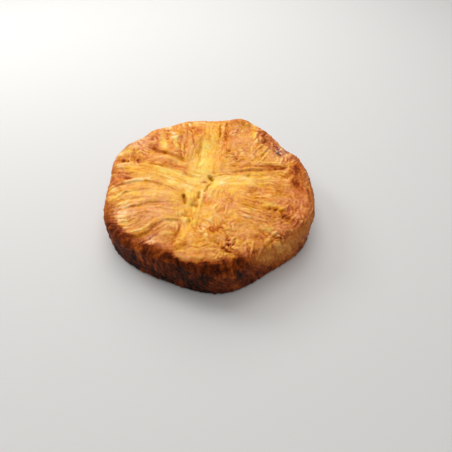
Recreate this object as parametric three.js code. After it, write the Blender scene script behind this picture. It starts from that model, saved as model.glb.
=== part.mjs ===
// Kouign amann: a whole round butter cake of folded, sugared dough, baked in a tin.
// The four corners of a dough square are folded to the middle, so the top is a cross of
// flap edges round a knotted hollow, with a lobe of crust in each quarter and a dark wall.
// Millimetres, +Z up. The cake rests on z = 0, with the origin under the middle of its box.
import * as THREE from 'three';

// Driving dimensions of the drum.
const WALL_RADIUS = 101.4;
const CRUST_HEIGHT = 41;
const SHOULDER_ROUND = 10;
const WALL_LEAN = 2.8;
const FOOT_ROUND = 1.6;
const FOOT_HEIGHT = 2.4;

// How finely the surface is divided: rings over the crust, rows down the wall.
const CRUST_RINGS = 37;
const WALL_ROWS = 7;
const RING_SIDES = 6;
const CURVE_STEPS = 14;

// The tin's circle, slumped: so many waves round the wall, their depth and where one peaks.
const OUTLINE_WAVES = [
  { waves: 1, depth: 2.3, peak: 228 },
  { waves: 2, depth: 0.9, peak: 172 },
  { waves: 3, depth: 1.5, peak: 85 },
  { waves: 4, depth: 1.2, peak: 74 },
  { waves: 5, depth: 1.3, peak: 71 },
  { waves: 6, depth: 1.6, peak: 36 },
  { waves: 7, depth: 1.0, peak: 12 },
  { waves: 8, depth: 0.9, peak: 18 },
];

// Swells (height above 0) and hollows (below 0) of the crust, each a round soft mound.
const MOUNDS = [
  { name: 'left lobe', x: -55, y: -32, radius: 30, height: 4.6 },
  { name: 'front left lobe', x: -38, y: -64, radius: 17, height: 2.8 },
  { name: 'left arm', x: -62, y: 4, radius: 18, height: 1.8 },
  { name: 'back left tongue', x: -46, y: 24, radius: 13, height: 2.2 },
  { name: 'back left lobe', x: -44, y: 54, radius: 22, height: 3.6 },
  { name: 'back lobe', x: -16, y: 64, radius: 20, height: 2.4 },
  { name: 'back right lobe', x: 40, y: 48, radius: 34, height: 3.8 },
  { name: 'front right lobe', x: 42, y: -40, radius: 36, height: 3.4 },
  { name: 'front lobe', x: 4, y: -68, radius: 18, height: 2.6 },
  { name: 'back rim bulge', x: 28, y: 84, radius: 12, height: 4.6 },
  { name: 'back left corner', x: -62, y: 60, radius: 10, height: 3.0 },
  { name: 'left rim knuckle', x: -84, y: 33, radius: 9, height: 2.8 },
  { name: 'left rim roll', x: -86, y: 6, radius: 10, height: 1.8 },
  { name: 'right rim knuckle', x: 84, y: 4, radius: 8, height: 2.4 },
  { name: 'right rim lump', x: 82, y: 28, radius: 8, height: 1.8 },
  { name: 'right front rim', x: 76, y: -46, radius: 14, height: 1.6 },
  { name: 'left droop', x: -88, y: -46, radius: 24, height: -4.4 },
  { name: 'front left droop', x: -64, y: -76, radius: 22, height: -4.6 },
  { name: 'right front droop', x: 66, y: -74, radius: 18, height: -2.4 },
  { name: 'back right sink', x: 68, y: 46, radius: 13, height: -3.4 },
  { name: 'back sink', x: -6, y: 90, radius: 13, height: -2.0 },
  { name: 'middle sink', x: -6, y: -16, radius: 26, height: -4.0 },
  { name: 'back arm trough', x: -6, y: 32, radius: 13, height: -2.2 },
  { name: 'front arm trough', x: -16, y: -58, radius: 11, height: -2.0 },
  { name: 'middle knot', x: -16, y: -30, radius: 6, height: 3.2 },
  { name: 'knot flap', x: 2, y: -16, radius: 6, height: 2.2 },
];

// Flap edges and furrows. Each runs between two ends, with its middle pushed sideways by
// bow. It is cut in by depth over width, and its left side, seen from the first end, stands
// higher than its right by step (negative: lower), fading over reach.
const CREASES = [
  { name: 'back flap edge', from: [1, -2], to: [17, 96], bow: -3,
    width: 3.6, depth: 2, step: -2.2, reach: 11 },
  { name: 'back flap second edge', from: [5.5, 44], to: [9.5, 92], bow: 1,
    width: 2.6, depth: 1.2, step: 0, reach: 6 },
  { name: 'back arm left edge', from: [-15, 10], to: [-14, 60], bow: -2,
    width: 3.2, depth: 0.7, step: 1, reach: 9 },
  { name: 'right flap edge', from: [12, 5], to: [78, 13], bow: -0.5,
    width: 3, depth: 1.3, step: 1.8, reach: 9 },
  { name: 'right roll', from: [22, 11], to: [80, 17], bow: 0,
    width: 2.8, depth: 1.2, step: 0.8, reach: 7 },
  { name: 'left arm upper', from: [-8, -8], to: [-96, 19], bow: -5.5,
    width: 3.2, depth: 1.7, step: 1.4, reach: 9 },
  { name: 'left arm ridge', from: [-14, -10], to: [-72, 4], bow: -1,
    width: 2.8, depth: 1.2, step: 0.8, reach: 6 },
  { name: 'left arm middle', from: [-26, -26], to: [-92, -18], bow: -10,
    width: 3, depth: 0.8, step: -1.2, reach: 8 },
  { name: 'left arm lower', from: [-54, -22], to: [-95, -29], bow: -1,
    width: 2.8, depth: 0.7, step: -0.8, reach: 8 },
  { name: 'front arm', from: [-18, -44], to: [-27, -86], bow: 1,
    width: 3.2, depth: 1.5, step: 0.8, reach: 9 },
  { name: 'front arm right edge', from: [-8, -42], to: [-10, -84], bow: 2,
    width: 2.6, depth: 0.6, step: -0.6, reach: 8 },
  { name: 'back left valley', from: [-21, 20], to: [-67, 38], bow: 2.3,
    width: 3.6, depth: 1.9, step: -2, reach: 10 },
  { name: 'back left fold', from: [-40, 32], to: [-54, 82], bow: 1,
    width: 3, depth: 1, step: 0.8, reach: 8 },
  { name: 'back left ruck', from: [-28, 38], to: [-24, 70], bow: 0,
    width: 2.8, depth: 0.9, step: 0.7, reach: 8 },
  { name: 'left rim notch', from: [-64, 17], to: [-102, 17], bow: 2,
    width: 3.2, depth: 1.4, step: -0.8, reach: 8 },
  { name: 'left lobe fold', from: [-20, -56.5], to: [-48, -65], bow: -2.6,
    width: 2.8, depth: 0.6, step: -2, reach: 9 },
  { name: 'left lobe fold, outer', from: [-44, -63.5], to: [-72, -73.5], bow: 0.5,
    width: 2.8, depth: 0.5, step: -2.2, reach: 8 },
  { name: 'left wrinkle upper', from: [-58, -32], to: [-92, -37], bow: -1,
    width: 2.8, depth: 1, step: 0.5, reach: 6 },
  { name: 'left wrinkle lower', from: [-32, -38], to: [-82, -43], bow: -0.5,
    width: 2.6, depth: 1, step: -0.6, reach: 6 },
  { name: 'right rim gouge', from: [50, 66], to: [72, 30], bow: -1,
    width: 3.2, depth: 1.7, step: -1, reach: 8 },
  { name: 'back right rim cut', from: [50.5, 48], to: [56.5, 60], bow: 0,
    width: 2.8, depth: 1, step: 0.8, reach: 6 },
  { name: 'back right fold', from: [45, 22], to: [58, 42], bow: -1,
    width: 2.8, depth: 0.8, step: 0.9, reach: 7 },
  { name: 'right rim fold', from: [68, -6], to: [87, 26], bow: -1,
    width: 3, depth: 1.4, step: -1.2, reach: 7 },
  { name: 'right arm lower edge', from: [10, -12], to: [88, -20], bow: 2,
    width: 2.8, depth: 0.8, step: -0.6, reach: 8 },
  { name: 'front right fold', from: [46, -39.5], to: [68, -44], bow: 1.5,
    width: 3, depth: 1, step: 1.2, reach: 8 },
  { name: 'front right crack', from: [42, -60], to: [62, -69], bow: -1,
    width: 2.6, depth: 1.2, step: 0.8, reach: 6 },
  { name: 'front blister edge', from: [-2, -56], to: [28, -84], bow: 3,
    width: 2.8, depth: 0.8, step: 0.5, reach: 6 },
];

// Holes between the folded corners at the middle: long, narrow and round-ended.
const PITS = [
  { name: 'cross hole', from: [-1.8, 2.6], to: [1.8, -1.6], width: 2.8, depth: 2.8 },
  { name: 'long slot', from: [-23.4, -26], to: [-20.8, -34.5], width: 3.8, depth: 4 },
  { name: 'short slot', from: [-10, -19], to: [-9.3, -27], width: 2.8, depth: 2.2 },
  { name: 'flap crack', from: [1, -6], to: [-5, -17], width: 2.6, depth: 1.6 },
  { name: 'slot foot', from: [-14, -37.5], to: [-10.5, -38], width: 3, depth: 2 },
  { name: 'flap hollow', from: [-4, -25], to: [-2.5, -33], width: 3.4, depth: 1.6 },
];

// Fans of long wrinkles over the lobes, so many to a radian round a pivot.
const WRINKLE_FANS = [
  { name: 'left fan', pivot: [50, -12], middle: [-60, -32], radius: 36, count: 22, depth: 2.0 },
  { name: 'left arm fan', pivot: [20, -14], middle: [-52, 6], radius: 26, count: 16, depth: 1.6 },
  { name: 'back left fan', pivot: [0, -18], middle: [-34, 54], radius: 34, count: 14, depth: 1.9 },
  { name: 'right fan', pivot: [-50, 0], middle: [54, -6], radius: 34, count: 26, depth: 1.5 },
  { name: 'front right fan', pivot: [-30, 10], middle: [52, -46], radius: 34, count: 20, depth: 1.5 },
  { name: 'front fan', pivot: [-8, 10], middle: [-2, -66], radius: 26, count: 18, depth: 1.8 },
];
const WRINKLE_LENGTH = 26;

// Uneven crust: soft lumps from coarse to fine, and how far they push the edges aside.
const LUMPS = [
  { size: 21, height: 1.5 },
  { size: 10, height: 1.1 },
  { size: 6, height: 0.7 },
];
const WARP_SIZE = 17;
const WARP_REACH = 5;

// A crease fades over this share of its length at each end, and is uneven along itself.
const CREASE_FADE = 0.22;
const CREASE_VARIETY = 1.1;
const CREASE_PIECES = 6;

// The crust gives way to the wall over the shoulder from this turn (radians) to upright.
const SHOULDER_BLEND = 0.3;

// Multipliers that scramble a grid point into a fixed pseudo-random share.
const SCRAMBLE_ACROSS = 127.1;
const SCRAMBLE_UP = 311.7;
const SCRAMBLE_SCALE = 43758.5453;

// Wall relief: a soft belly, and uneven lumps that lean aside as they rise.
const WALL_BELLY = 1.2;
const WALL_LUMPS = [
  { size: 27, height: 2.2, slant: 0.4 },
  { size: 14, height: 1.8, slant: -0.3 },
  { size: 8, height: 1.3, slant: 0.2 },
];

const CRUST_COLOR = 0xd8903f;
const CRUST_ROUGHNESS = 0.5;

const toRadians = THREE.MathUtils.degToRad;
const smoothstep = THREE.MathUtils.smoothstep;

/** Radius of the wall at an angle round the cake. */
function wallRadius(angle) {
  let radius = WALL_RADIUS;
  for (const { waves, depth, peak } of OUTLINE_WAVES) {
    radius += depth * Math.cos(waves * (angle - toRadians(peak)));
  }
  return radius;
}

/** A crease's or pit's own curve: straight, or bowed to its left by the given distance. */
function curveOf({ from, to, bow = 0 }) {
  const start = new THREE.Vector2(...from);
  const end = new THREE.Vector2(...to);
  const along = end.clone().sub(start).normalize();
  const sideways = new THREE.Vector2(-along.y, along.x);
  const middle = start.clone().lerp(end, 0.5).addScaledVector(sideways, 2 * bow);
  return new THREE.QuadraticBezierCurve(start, middle, end).getPoints(CURVE_STEPS);
}

/** Distance from a point to a run of points, signed + on its left, and how far along it is. */
function nearestOn(points, x, y) {
  let best = { distance: Infinity, side: 1, along: 0 };
  for (let i = 0; i + 1 < points.length; i += 1) {
    const dx = points[i + 1].x - points[i].x;
    const dy = points[i + 1].y - points[i].y;
    const px = x - points[i].x;
    const py = y - points[i].y;
    const t = THREE.MathUtils.clamp((px * dx + py * dy) / (dx * dx + dy * dy), 0, 1);
    const distance = Math.hypot(px - t * dx, py - t * dy);
    if (distance < best.distance) {
      const side = Math.sign(dx * py - dy * px) || 1;
      best = { distance, side, along: (i + t) / (points.length - 1) };
    }
  }
  return best;
}

const bell = (distance, width) => Math.exp(-((distance / width) ** 2));

/** A fixed pseudo-random share, 0 to 1, for a whole-numbered grid point. */
function gridChance(i, j) {
  const scrambled = Math.sin(i * SCRAMBLE_ACROSS + j * SCRAMBLE_UP) * SCRAMBLE_SCALE;
  return scrambled - Math.floor(scrambled);
}

/** Smooth unevenness between -0.5 and 0.5, with one lump to each unit square. */
function unevenness(x, y) {
  const i = Math.floor(x);
  const j = Math.floor(y);
  const u = smoothstep(x - i, 0, 1);
  const v = smoothstep(y - j, 0, 1);
  const near = THREE.MathUtils.lerp(gridChance(i, j), gridChance(i + 1, j), u);
  const far = THREE.MathUtils.lerp(gridChance(i, j + 1), gridChance(i + 1, j + 1), u);
  return THREE.MathUtils.lerp(near, far, v) - 0.5;
}

const creaseRuns = CREASES.map((crease) => ({ ...crease, points: curveOf(crease) }));
const pitRuns = PITS.map((pit) => ({ ...pit, points: curveOf(pit) }));

/** Soft swells and hollows of the crust. */
function moundHeight(x, y) {
  return MOUNDS.reduce((sum, m) => sum + m.height * bell(Math.hypot(x - m.x, y - m.y), m.radius), 0);
}

/** Flap edges: a furrow, with a step from one side to the other that fades away from it. */
function creaseHeight(x, y) {
  return creaseRuns.reduce((sum, { points, width, depth, step, reach }, row) => {
    const { distance, side, along } = nearestOn(points, x, y);
    const fade = smoothstep(along, 0, CREASE_FADE) * (1 - smoothstep(along, 1 - CREASE_FADE, 1));
    const strength = fade * (1 + CREASE_VARIETY * unevenness(along * CREASE_PIECES, row));
    const rise = side * smoothstep(distance, 0, width) * Math.exp(-distance / reach);
    return sum + strength * ((step / 2) * rise - depth * bell(distance, width));
  }, 0);
}

/** Holes of the knot at the middle. */
function pitHeight(x, y) {
  return pitRuns.reduce((sum, { points, width, depth }) => {
    const { distance } = nearestOn(points, x, y);
    return sum - depth * bell(distance, width);
  }, 0);
}

/** Long wrinkles fanning over the lobes. */
function wrinkleHeight(x, y) {
  let height = 0;
  for (const { pivot, middle, radius, count, depth } of WRINKLE_FANS) {
    const axis = new THREE.Vector2(...middle).sub(new THREE.Vector2(...pivot));
    const spoke = new THREE.Vector2(x, y).sub(new THREE.Vector2(...pivot));
    const direction = Math.atan2(axis.cross(spoke), axis.dot(spoke));
    const length = spoke.length();
    const mask = bell(Math.hypot(x - middle[0], y - middle[1]), radius);
    height += depth * mask * unevenness(count * direction, length / WRINKLE_LENGTH);
  }
  return height;
}

/** Uneven lumps all over the crust. */
const lumpHeight = (x, y) =>
  LUMPS.reduce((sum, { size, height }) => sum + height * unevenness(x / size, y / size), 0);

/** Height of the crust above or below its smooth line: everything named above, added up. */
function crustRelief(x, y) {
  const warpX = x + WARP_REACH * unevenness(x / WARP_SIZE, y / WARP_SIZE);
  const warpY = y + WARP_REACH * unevenness(y / WARP_SIZE, x / WARP_SIZE);
  const folds = creaseHeight(warpX, warpY) + wrinkleHeight(warpX, warpY);
  return moundHeight(x, y) + pitHeight(x, y) + folds + lumpHeight(x, y);
}

/** Belly and lumps of the wall, out from its smooth line. */
function wallRelief(angle, z) {
  const x = wallRadius(angle) * Math.cos(angle);
  const y = wallRadius(angle) * Math.sin(angle);
  let out = WALL_BELLY * Math.sin(Math.PI * (z / CRUST_HEIGHT));
  for (const { size, height, slant } of WALL_LUMPS) {
    out += height * unevenness((x + slant * z) / size, (y + slant * z) / size);
  }
  return out;
}

/** Point of the crust, which runs from the axis out and over the round shoulder. */
function crustPoint(share, angle) {
  const flat = wallRadius(angle) - WALL_LEAN - SHOULDER_ROUND;
  const length = share * (flat + SHOULDER_ROUND * (Math.PI / 2));
  const turn = Math.max(0, length - flat) / SHOULDER_ROUND;
  const radius = Math.min(length, flat) + SHOULDER_ROUND * Math.sin(turn);
  const z = CRUST_HEIGHT - SHOULDER_ROUND * (1 - Math.cos(turn));
  const x = radius * Math.cos(angle);
  const y = radius * Math.sin(angle);
  const onWall = smoothstep(turn, SHOULDER_BLEND, Math.PI / 2);
  const out = (1 - onWall) * crustRelief(x, y) + onWall * wallRelief(angle, z);
  const reach = radius + out * Math.sin(turn);
  return [reach * Math.cos(angle), reach * Math.sin(angle), z + out * Math.cos(turn)];
}

/** Point of the wall, which leans out as it goes down and turns in at its foot. */
function wallPoint(share, angle) {
  const top = CRUST_HEIGHT - SHOULDER_ROUND;
  const z = THREE.MathUtils.lerp(top, 0, share);
  const lean = WALL_LEAN * (z / top);
  const foot = FOOT_ROUND * (1 - smoothstep(z, 0, FOOT_HEIGHT));
  const radius = wallRadius(angle) - lean - foot + wallRelief(angle, z) * smoothstep(z, 0, top);
  return [radius * Math.cos(angle), radius * Math.sin(angle), z];
}

/** First vertex of a ring: ring 0 is the middle, and ring k has six vertices for each k. */
const ringStart = (ring) => (ring === 0 ? 0 : 1 + (RING_SIDES / 2) * ring * (ring - 1));

/** Vertices: the crust's rings, the wall's rows and the middle of the flat base. */
function cakeVertices() {
  const vertices = [...crustPoint(0, 0)];
  for (let ring = 1; ring <= CRUST_RINGS; ring += 1) {
    for (let i = 0; i < RING_SIDES * ring; i += 1) {
      vertices.push(...crustPoint(ring / CRUST_RINGS, (2 * Math.PI * i) / (RING_SIDES * ring)));
    }
  }
  const around = RING_SIDES * CRUST_RINGS;
  for (let row = 1; row <= WALL_ROWS; row += 1) {
    for (let i = 0; i < around; i += 1) {
      vertices.push(...wallPoint(row / WALL_ROWS, (2 * Math.PI * i) / around));
    }
  }
  vertices.push(0, 0, 0);
  return vertices;
}

/** Triangles between one ring of the crust and the next one in. */
function ringTriangles(ring) {
  const triangles = [];
  const outer = ringStart(ring);
  const inner = ringStart(ring - 1);
  const outerCount = RING_SIDES * ring;
  const innerCount = Math.max(1, RING_SIDES * (ring - 1));
  for (let side = 0; side < RING_SIDES; side += 1) {
    for (let i = 0; i < ring; i += 1) {
      const near = inner + ((side * (ring - 1) + i) % innerCount);
      const nextNear = inner + ((side * (ring - 1) + i + 1) % innerCount);
      const far = outer + side * ring + i;
      const nextFar = outer + ((side * ring + i + 1) % outerCount);
      triangles.push(near, far, nextFar);
      if (i < ring - 1) triangles.push(near, nextFar, nextNear);
    }
  }
  return triangles;
}

/** Triangles of the wall's rows and of the flat base. */
function wallAndBaseTriangles() {
  const triangles = [];
  const around = RING_SIDES * CRUST_RINGS;
  const firstRow = ringStart(CRUST_RINGS);
  const baseMiddle = firstRow + around * (WALL_ROWS + 1);
  for (let i = 0; i < around; i += 1) {
    const next = (i + 1) % around;
    for (let row = 0; row < WALL_ROWS; row += 1) {
      const upper = firstRow + row * around;
      const lower = upper + around;
      triangles.push(upper + i, lower + i, lower + next);
      triangles.push(upper + i, lower + next, upper + next);
    }
    const lowest = firstRow + WALL_ROWS * around;
    triangles.push(baseMiddle, lowest + next, lowest + i);
  }
  return triangles;
}

/** The whole cake as one closed body, moved so that its box is centred on the origin. */
function cakeGeometry() {
  const triangles = [];
  for (let ring = 1; ring <= CRUST_RINGS; ring += 1) triangles.push(...ringTriangles(ring));
  triangles.push(...wallAndBaseTriangles());
  const geometry = new THREE.BufferGeometry();
  geometry.setAttribute('position', new THREE.Float32BufferAttribute(cakeVertices(), 3));
  geometry.setIndex(triangles);
  geometry.computeBoundingBox();
  const middle = geometry.boundingBox.getCenter(new THREE.Vector3());
  geometry.translate(-middle.x, -middle.y, 0);
  geometry.computeVertexNormals();
  return geometry;
}

/** Golden-brown baked crust. */
function crustMaterial() {
  return new THREE.MeshStandardMaterial({
    name: 'crust',
    color: CRUST_COLOR,
    roughness: CRUST_ROUGHNESS,
    metalness: 0,
  });
}

const kouignAmann = new THREE.Mesh(cakeGeometry(), crustMaterial());
kouignAmann.name = 'kouign_amann';

const group = new THREE.Group();
group.add(kouignAmann);

export default group;
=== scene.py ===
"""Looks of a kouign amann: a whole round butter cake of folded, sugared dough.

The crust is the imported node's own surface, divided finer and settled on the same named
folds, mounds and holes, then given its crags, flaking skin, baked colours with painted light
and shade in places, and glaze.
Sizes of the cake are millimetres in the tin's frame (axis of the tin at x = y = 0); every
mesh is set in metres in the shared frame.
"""
import logging
import math
from collections.abc import Iterable
from dataclasses import dataclass
from enum import Enum

import bpy
import numpy as np
from mathutils import Matrix, Vector


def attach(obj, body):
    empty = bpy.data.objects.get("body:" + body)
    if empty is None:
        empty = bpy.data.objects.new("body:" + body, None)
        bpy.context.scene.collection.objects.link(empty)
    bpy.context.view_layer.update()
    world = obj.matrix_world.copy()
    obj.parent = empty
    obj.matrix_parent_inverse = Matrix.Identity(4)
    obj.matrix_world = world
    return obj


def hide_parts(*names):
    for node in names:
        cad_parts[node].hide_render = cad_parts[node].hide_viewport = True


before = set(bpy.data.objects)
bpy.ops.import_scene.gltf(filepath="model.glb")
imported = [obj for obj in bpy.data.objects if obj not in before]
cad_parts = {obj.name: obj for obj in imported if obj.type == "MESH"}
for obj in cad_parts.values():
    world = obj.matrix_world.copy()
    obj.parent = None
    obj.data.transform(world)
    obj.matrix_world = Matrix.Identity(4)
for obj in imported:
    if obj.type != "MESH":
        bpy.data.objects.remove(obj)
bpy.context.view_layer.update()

NODE = "kouign_amann"
BODY = "root"
MM = 0.001
SCRAMBLE = (127.1, 311.7, 74.7)  # spread neighbouring places apart for chance()
SCATTER = 43758.5453
NO_LENGTH = 1e-9
Place = tuple[float, float]  # across and deep
Pair = tuple[float, float]  # two limits, or a size and what goes with it
Tint = tuple[float, float, float, float]  # red, green, blue and alpha in scene values
log = logging.getLogger("kouign_amann")


class Texture(Enum):
    """How a patch of skin is creased."""

    RUCKED = "round rucks with sharp valleys between them"
    FLAKY = "overlapping flakes, each with a raised edge"


# --- Shape: the same named forms as the solid's ----------------------------------------


@dataclass(frozen=True)
class Mound:
    """A round swell of the crust (height above 0) or hollow (below 0), in mm."""

    name: str
    x: float
    y: float
    radius: float
    height: float


@dataclass(frozen=True)
class Crease:
    """A flap edge or furrow between two ends, its middle pushed left by bow, in mm.

    It is cut in by depth over width, and its left side stands higher than its right by
    step, fading over reach.
    """

    name: str
    start: Place
    end: Place
    bow: float
    width: float
    depth: float
    step: float
    reach: float


@dataclass(frozen=True)
class Pit:
    """A long round-ended hole between the folded corners, in mm."""

    name: str
    start: Place
    end: Place
    width: float
    depth: float


@dataclass(frozen=True)
class WrinkleFan:
    """Long wrinkles over a lobe, so many to a radian round a pivot, in mm."""

    name: str
    pivot: Place
    middle: Place
    radius: float
    count: float
    depth: float


@dataclass(frozen=True)
class Lump:
    """Uneven lumps of one size and height, in mm. On the wall they lean as they rise."""

    size: float
    height: float
    slant: float = 0.0


@dataclass(frozen=True)
class Wave:
    """So many waves round the wall, their depth in mm and the angle where one peaks."""

    waves: int
    depth: float
    peak: float


OUTLINE_WAVES = (
    Wave(1, 2.3, 228), Wave(2, 0.9, 172), Wave(3, 1.5, 85), Wave(4, 1.2, 74),
    Wave(5, 1.3, 71), Wave(6, 1.6, 36), Wave(7, 1.0, 12), Wave(8, 0.9, 18),
)

MOUNDS = (
    Mound("left lobe", -55, -32, 30, 4.6),
    Mound("front left lobe", -38, -64, 17, 2.8),
    Mound("left arm", -62, 4, 18, 1.8),
    Mound("back left tongue", -46, 24, 13, 2.2),
    Mound("back left lobe", -44, 54, 22, 3.6),
    Mound("back lobe", -16, 64, 20, 2.4),
    Mound("back right lobe", 40, 48, 34, 3.8),
    Mound("front right lobe", 42, -40, 36, 3.4),
    Mound("front lobe", 4, -68, 18, 2.6),
    Mound("back rim bulge", 28, 84, 12, 4.6),
    Mound("back left corner", -62, 60, 10, 3),
    Mound("left rim knuckle", -84, 33, 9, 2.8),
    Mound("left rim roll", -86, 6, 10, 1.8),
    Mound("right rim knuckle", 84, 4, 8, 2.4),
    Mound("right rim lump", 82, 28, 8, 1.8),
    Mound("right front rim", 76, -46, 14, 1.6),
    Mound("left droop", -88, -46, 24, -4.4),
    Mound("front left droop", -64, -76, 22, -4.6),
    Mound("right front droop", 66, -74, 18, -2.4),
    Mound("back right sink", 68, 46, 13, -3.4),
    Mound("back sink", -6, 90, 13, -2),
    Mound("middle sink", -6, -16, 26, -4),
    Mound("back arm trough", -6, 32, 13, -2.2),
    Mound("front arm trough", -16, -58, 11, -2),
    Mound("middle knot", -16, -30, 6, 3.2),
    Mound("knot flap", 2, -16, 6, 2.2),
)

CREASES = (
    Crease("back flap edge", (1, -2), (17, 96), -3, 3.6, 2, -2.2, 11),
    Crease("back flap second edge", (5.5, 44), (9.5, 92), 1, 2.6, 1.2, 0, 6),
    Crease("back arm left edge", (-15, 10), (-14, 60), -2, 3.2, 0.7, 1, 9),
    Crease("right flap edge", (12, 5), (78, 13), -0.5, 3, 1.3, 1.8, 9),
    Crease("right roll", (22, 11), (80, 17), 0, 2.8, 1.2, 0.8, 7),
    Crease("left arm upper", (-8, -8), (-96, 19), -5.5, 3.2, 1.7, 1.4, 9),
    Crease("left arm ridge", (-14, -10), (-72, 4), -1, 2.8, 1.2, 0.8, 6),
    Crease("left arm middle", (-26, -26), (-92, -18), -10, 3, 0.8, -1.2, 8),
    Crease("left arm lower", (-54, -22), (-95, -29), -1, 2.8, 0.7, -0.8, 8),
    Crease("front arm", (-18, -44), (-27, -86), 1, 3.2, 1.5, 0.8, 9),
    Crease("front arm right edge", (-8, -42), (-10, -84), 2, 2.6, 0.6, -0.6, 8),
    Crease("back left valley", (-21, 20), (-67, 38), 2.3, 3.6, 1.9, -2, 10),
    Crease("back left fold", (-40, 32), (-54, 82), 1, 3, 1, 0.8, 8),
    Crease("back left ruck", (-28, 38), (-24, 70), 0, 2.8, 0.9, 0.7, 8),
    Crease("left rim notch", (-64, 17), (-102, 17), 2, 3.2, 1.4, -0.8, 8),
    Crease("left lobe fold", (-20, -56.5), (-48, -65), -2.6, 2.8, 0.6, -2, 9),
    Crease("left lobe fold, outer", (-44, -63.5), (-72, -73.5), 0.5, 2.8, 0.5, -2.2, 8),
    Crease("left wrinkle upper", (-58, -32), (-92, -37), -1, 2.8, 1, 0.5, 6),
    Crease("left wrinkle lower", (-32, -38), (-82, -43), -0.5, 2.6, 1, -0.6, 6),
    Crease("right rim gouge", (50, 66), (72, 30), -1, 3.2, 1.7, -1, 8),
    Crease("back right rim cut", (50.5, 48), (56.5, 60), 0, 2.8, 1, 0.8, 6),
    Crease("back right fold", (45, 22), (58, 42), -1, 2.8, 0.8, 0.9, 7),
    Crease("right rim fold", (68, -6), (87, 26), -1, 3, 1.4, -1.2, 7),
    Crease("right arm lower edge", (10, -12), (88, -20), 2, 2.8, 0.8, -0.6, 8),
    Crease("front right fold", (46, -39.5), (68, -44), 1.5, 3, 1, 1.2, 8),
    Crease("front right crack", (42, -60), (62, -69), -1, 2.6, 1.2, 0.8, 6),
    Crease("front blister edge", (-2, -56), (28, -84), 3, 2.8, 0.8, 0.5, 6),
)

PITS = (
    Pit("cross hole", (-1.8, 2.6), (1.8, -1.6), 2.8, 2.8),
    Pit("long slot", (-23.4, -26), (-20.8, -34.5), 3.8, 4),
    Pit("short slot", (-10, -19), (-9.3, -27), 2.8, 2.2),
    Pit("flap crack", (1, -6), (-5, -17), 2.6, 1.6),
    Pit("slot foot", (-14, -37.5), (-10.5, -38), 3, 2),
    Pit("flap hollow", (-4, -25), (-2.5, -33), 3.4, 1.6),
)

WRINKLE_FANS = (
    WrinkleFan("left fan", (50, -12), (-60, -32), 36, 22, 2),
    WrinkleFan("left arm fan", (20, -14), (-52, 6), 26, 16, 1.6),
    WrinkleFan("back left fan", (0, -18), (-34, 54), 34, 14, 1.9),
    WrinkleFan("right fan", (-50, 0), (54, -6), 34, 26, 1.5),
    WrinkleFan("front right fan", (-30, 10), (52, -46), 34, 20, 1.5),
    WrinkleFan("front fan", (-8, 10), (-2, -66), 26, 18, 1.8),
)

LUMPS = (Lump(21, 1.5), Lump(10, 1.1), Lump(6, 0.7))
WALL_LUMPS = (Lump(27, 2.2, 0.4), Lump(14, 1.8, -0.3), Lump(8, 1.3, 0.2))


def smooth_between(value: np.ndarray, low: float, high: float) -> np.ndarray:
    """Smooth rise from 0 at low to 1 at high.

    Args:
        value: Any array.
        low: Where the rise starts.
        high: Where it ends.

    Returns:
        An array of shares, 0 to 1.
    """
    share = np.clip((value - low) / (high - low), 0, 1)
    return share * share * (3 - 2 * share)


def bell(distance: np.ndarray, width: float | np.ndarray) -> np.ndarray:
    """Bell-shaped weight: 1 at no distance, about a third at one width."""
    return np.exp(-((distance / width) ** 2))


def chance(phase: np.ndarray) -> np.ndarray:
    """A fixed scattered value from 0 to 1 for each phase."""
    value = np.sin(phase) * SCATTER
    return value - np.floor(value)


def unevenness(*at: np.ndarray) -> np.ndarray:
    """Smooth fixed unevenness between -0.5 and 0.5, one lump to each unit square or cube.

    Args:
        *at: Two or three coordinate arrays of one shape.

    Returns:
        An array of that shape.
    """
    whole = [np.floor(a) for a in at]
    share = [smooth_between(a - w, 0, 1) for a, w in zip(at, whole)]
    total = np.zeros_like(at[0])
    for corner in np.ndindex(*(2,) * len(at)):
        weight = np.ones_like(at[0])
        phase = np.zeros_like(at[0])
        for axis, step in enumerate(corner):
            weight = weight * (share[axis] if step else 1 - share[axis])
            phase = phase + (whole[axis] + step) * SCRAMBLE[axis]
        total += weight * chance(phase)
    return total - 0.5


def ripple(x: np.ndarray, y: np.ndarray) -> np.ndarray:
    """Smooth fixed ripple, about -0.6 to 0.6, one swell to each unit square.

    A number added to its places only picks another part of the ripple.

    Args:
        x: Points' x.
        y: Points' y.

    Returns:
        Height at each point, 0 at every whole x and y.
    """
    left, low = np.floor(x), np.floor(y)
    across, up = x - left, y - low
    right_share, top_share = smooth_between(across, 0, 1), smooth_between(up, 0, 1)
    total = np.zeros_like(x)
    for i, share_x in enumerate((1 - right_share, right_share)):
        for j, share_y in enumerate((1 - top_share, top_share)):
            corner = chance((left + i) * SCRAMBLE[0] + (low + j) * SCRAMBLE[1])
            heading = 2 * np.pi * corner
            slope = np.cos(heading) * (across - i) + np.sin(heading) * (up - j)
            total += share_x * share_y * slope
    return total


def rucked(x: np.ndarray, y: np.ndarray) -> np.ndarray:
    """Rucked dough: round swells with sharp valleys between them, about -0.5 to 1.

    Args:
        x: Points' place across the rucks, one ruck to a unit.
        y: Points' place along the rucks.

    Returns:
        Height at each point.
    """
    wide, half, third = 0.8, 1.9, 3.1
    bend, half_share, swell_height, fine_height, level = 0.45, 0.5, 2.3, 0.6, 0.52
    x = x + bend * ripple(wide * x + 11.3, wide * y + 5.1)
    swell = ripple(x, y) + half_share * ripple(half * x + 3.7, half * y + 8.3)
    fine = ripple(third * x + 9.3, third * y + 4.7)
    return swell_height * np.abs(swell) + fine_height * np.abs(fine) - level


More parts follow.
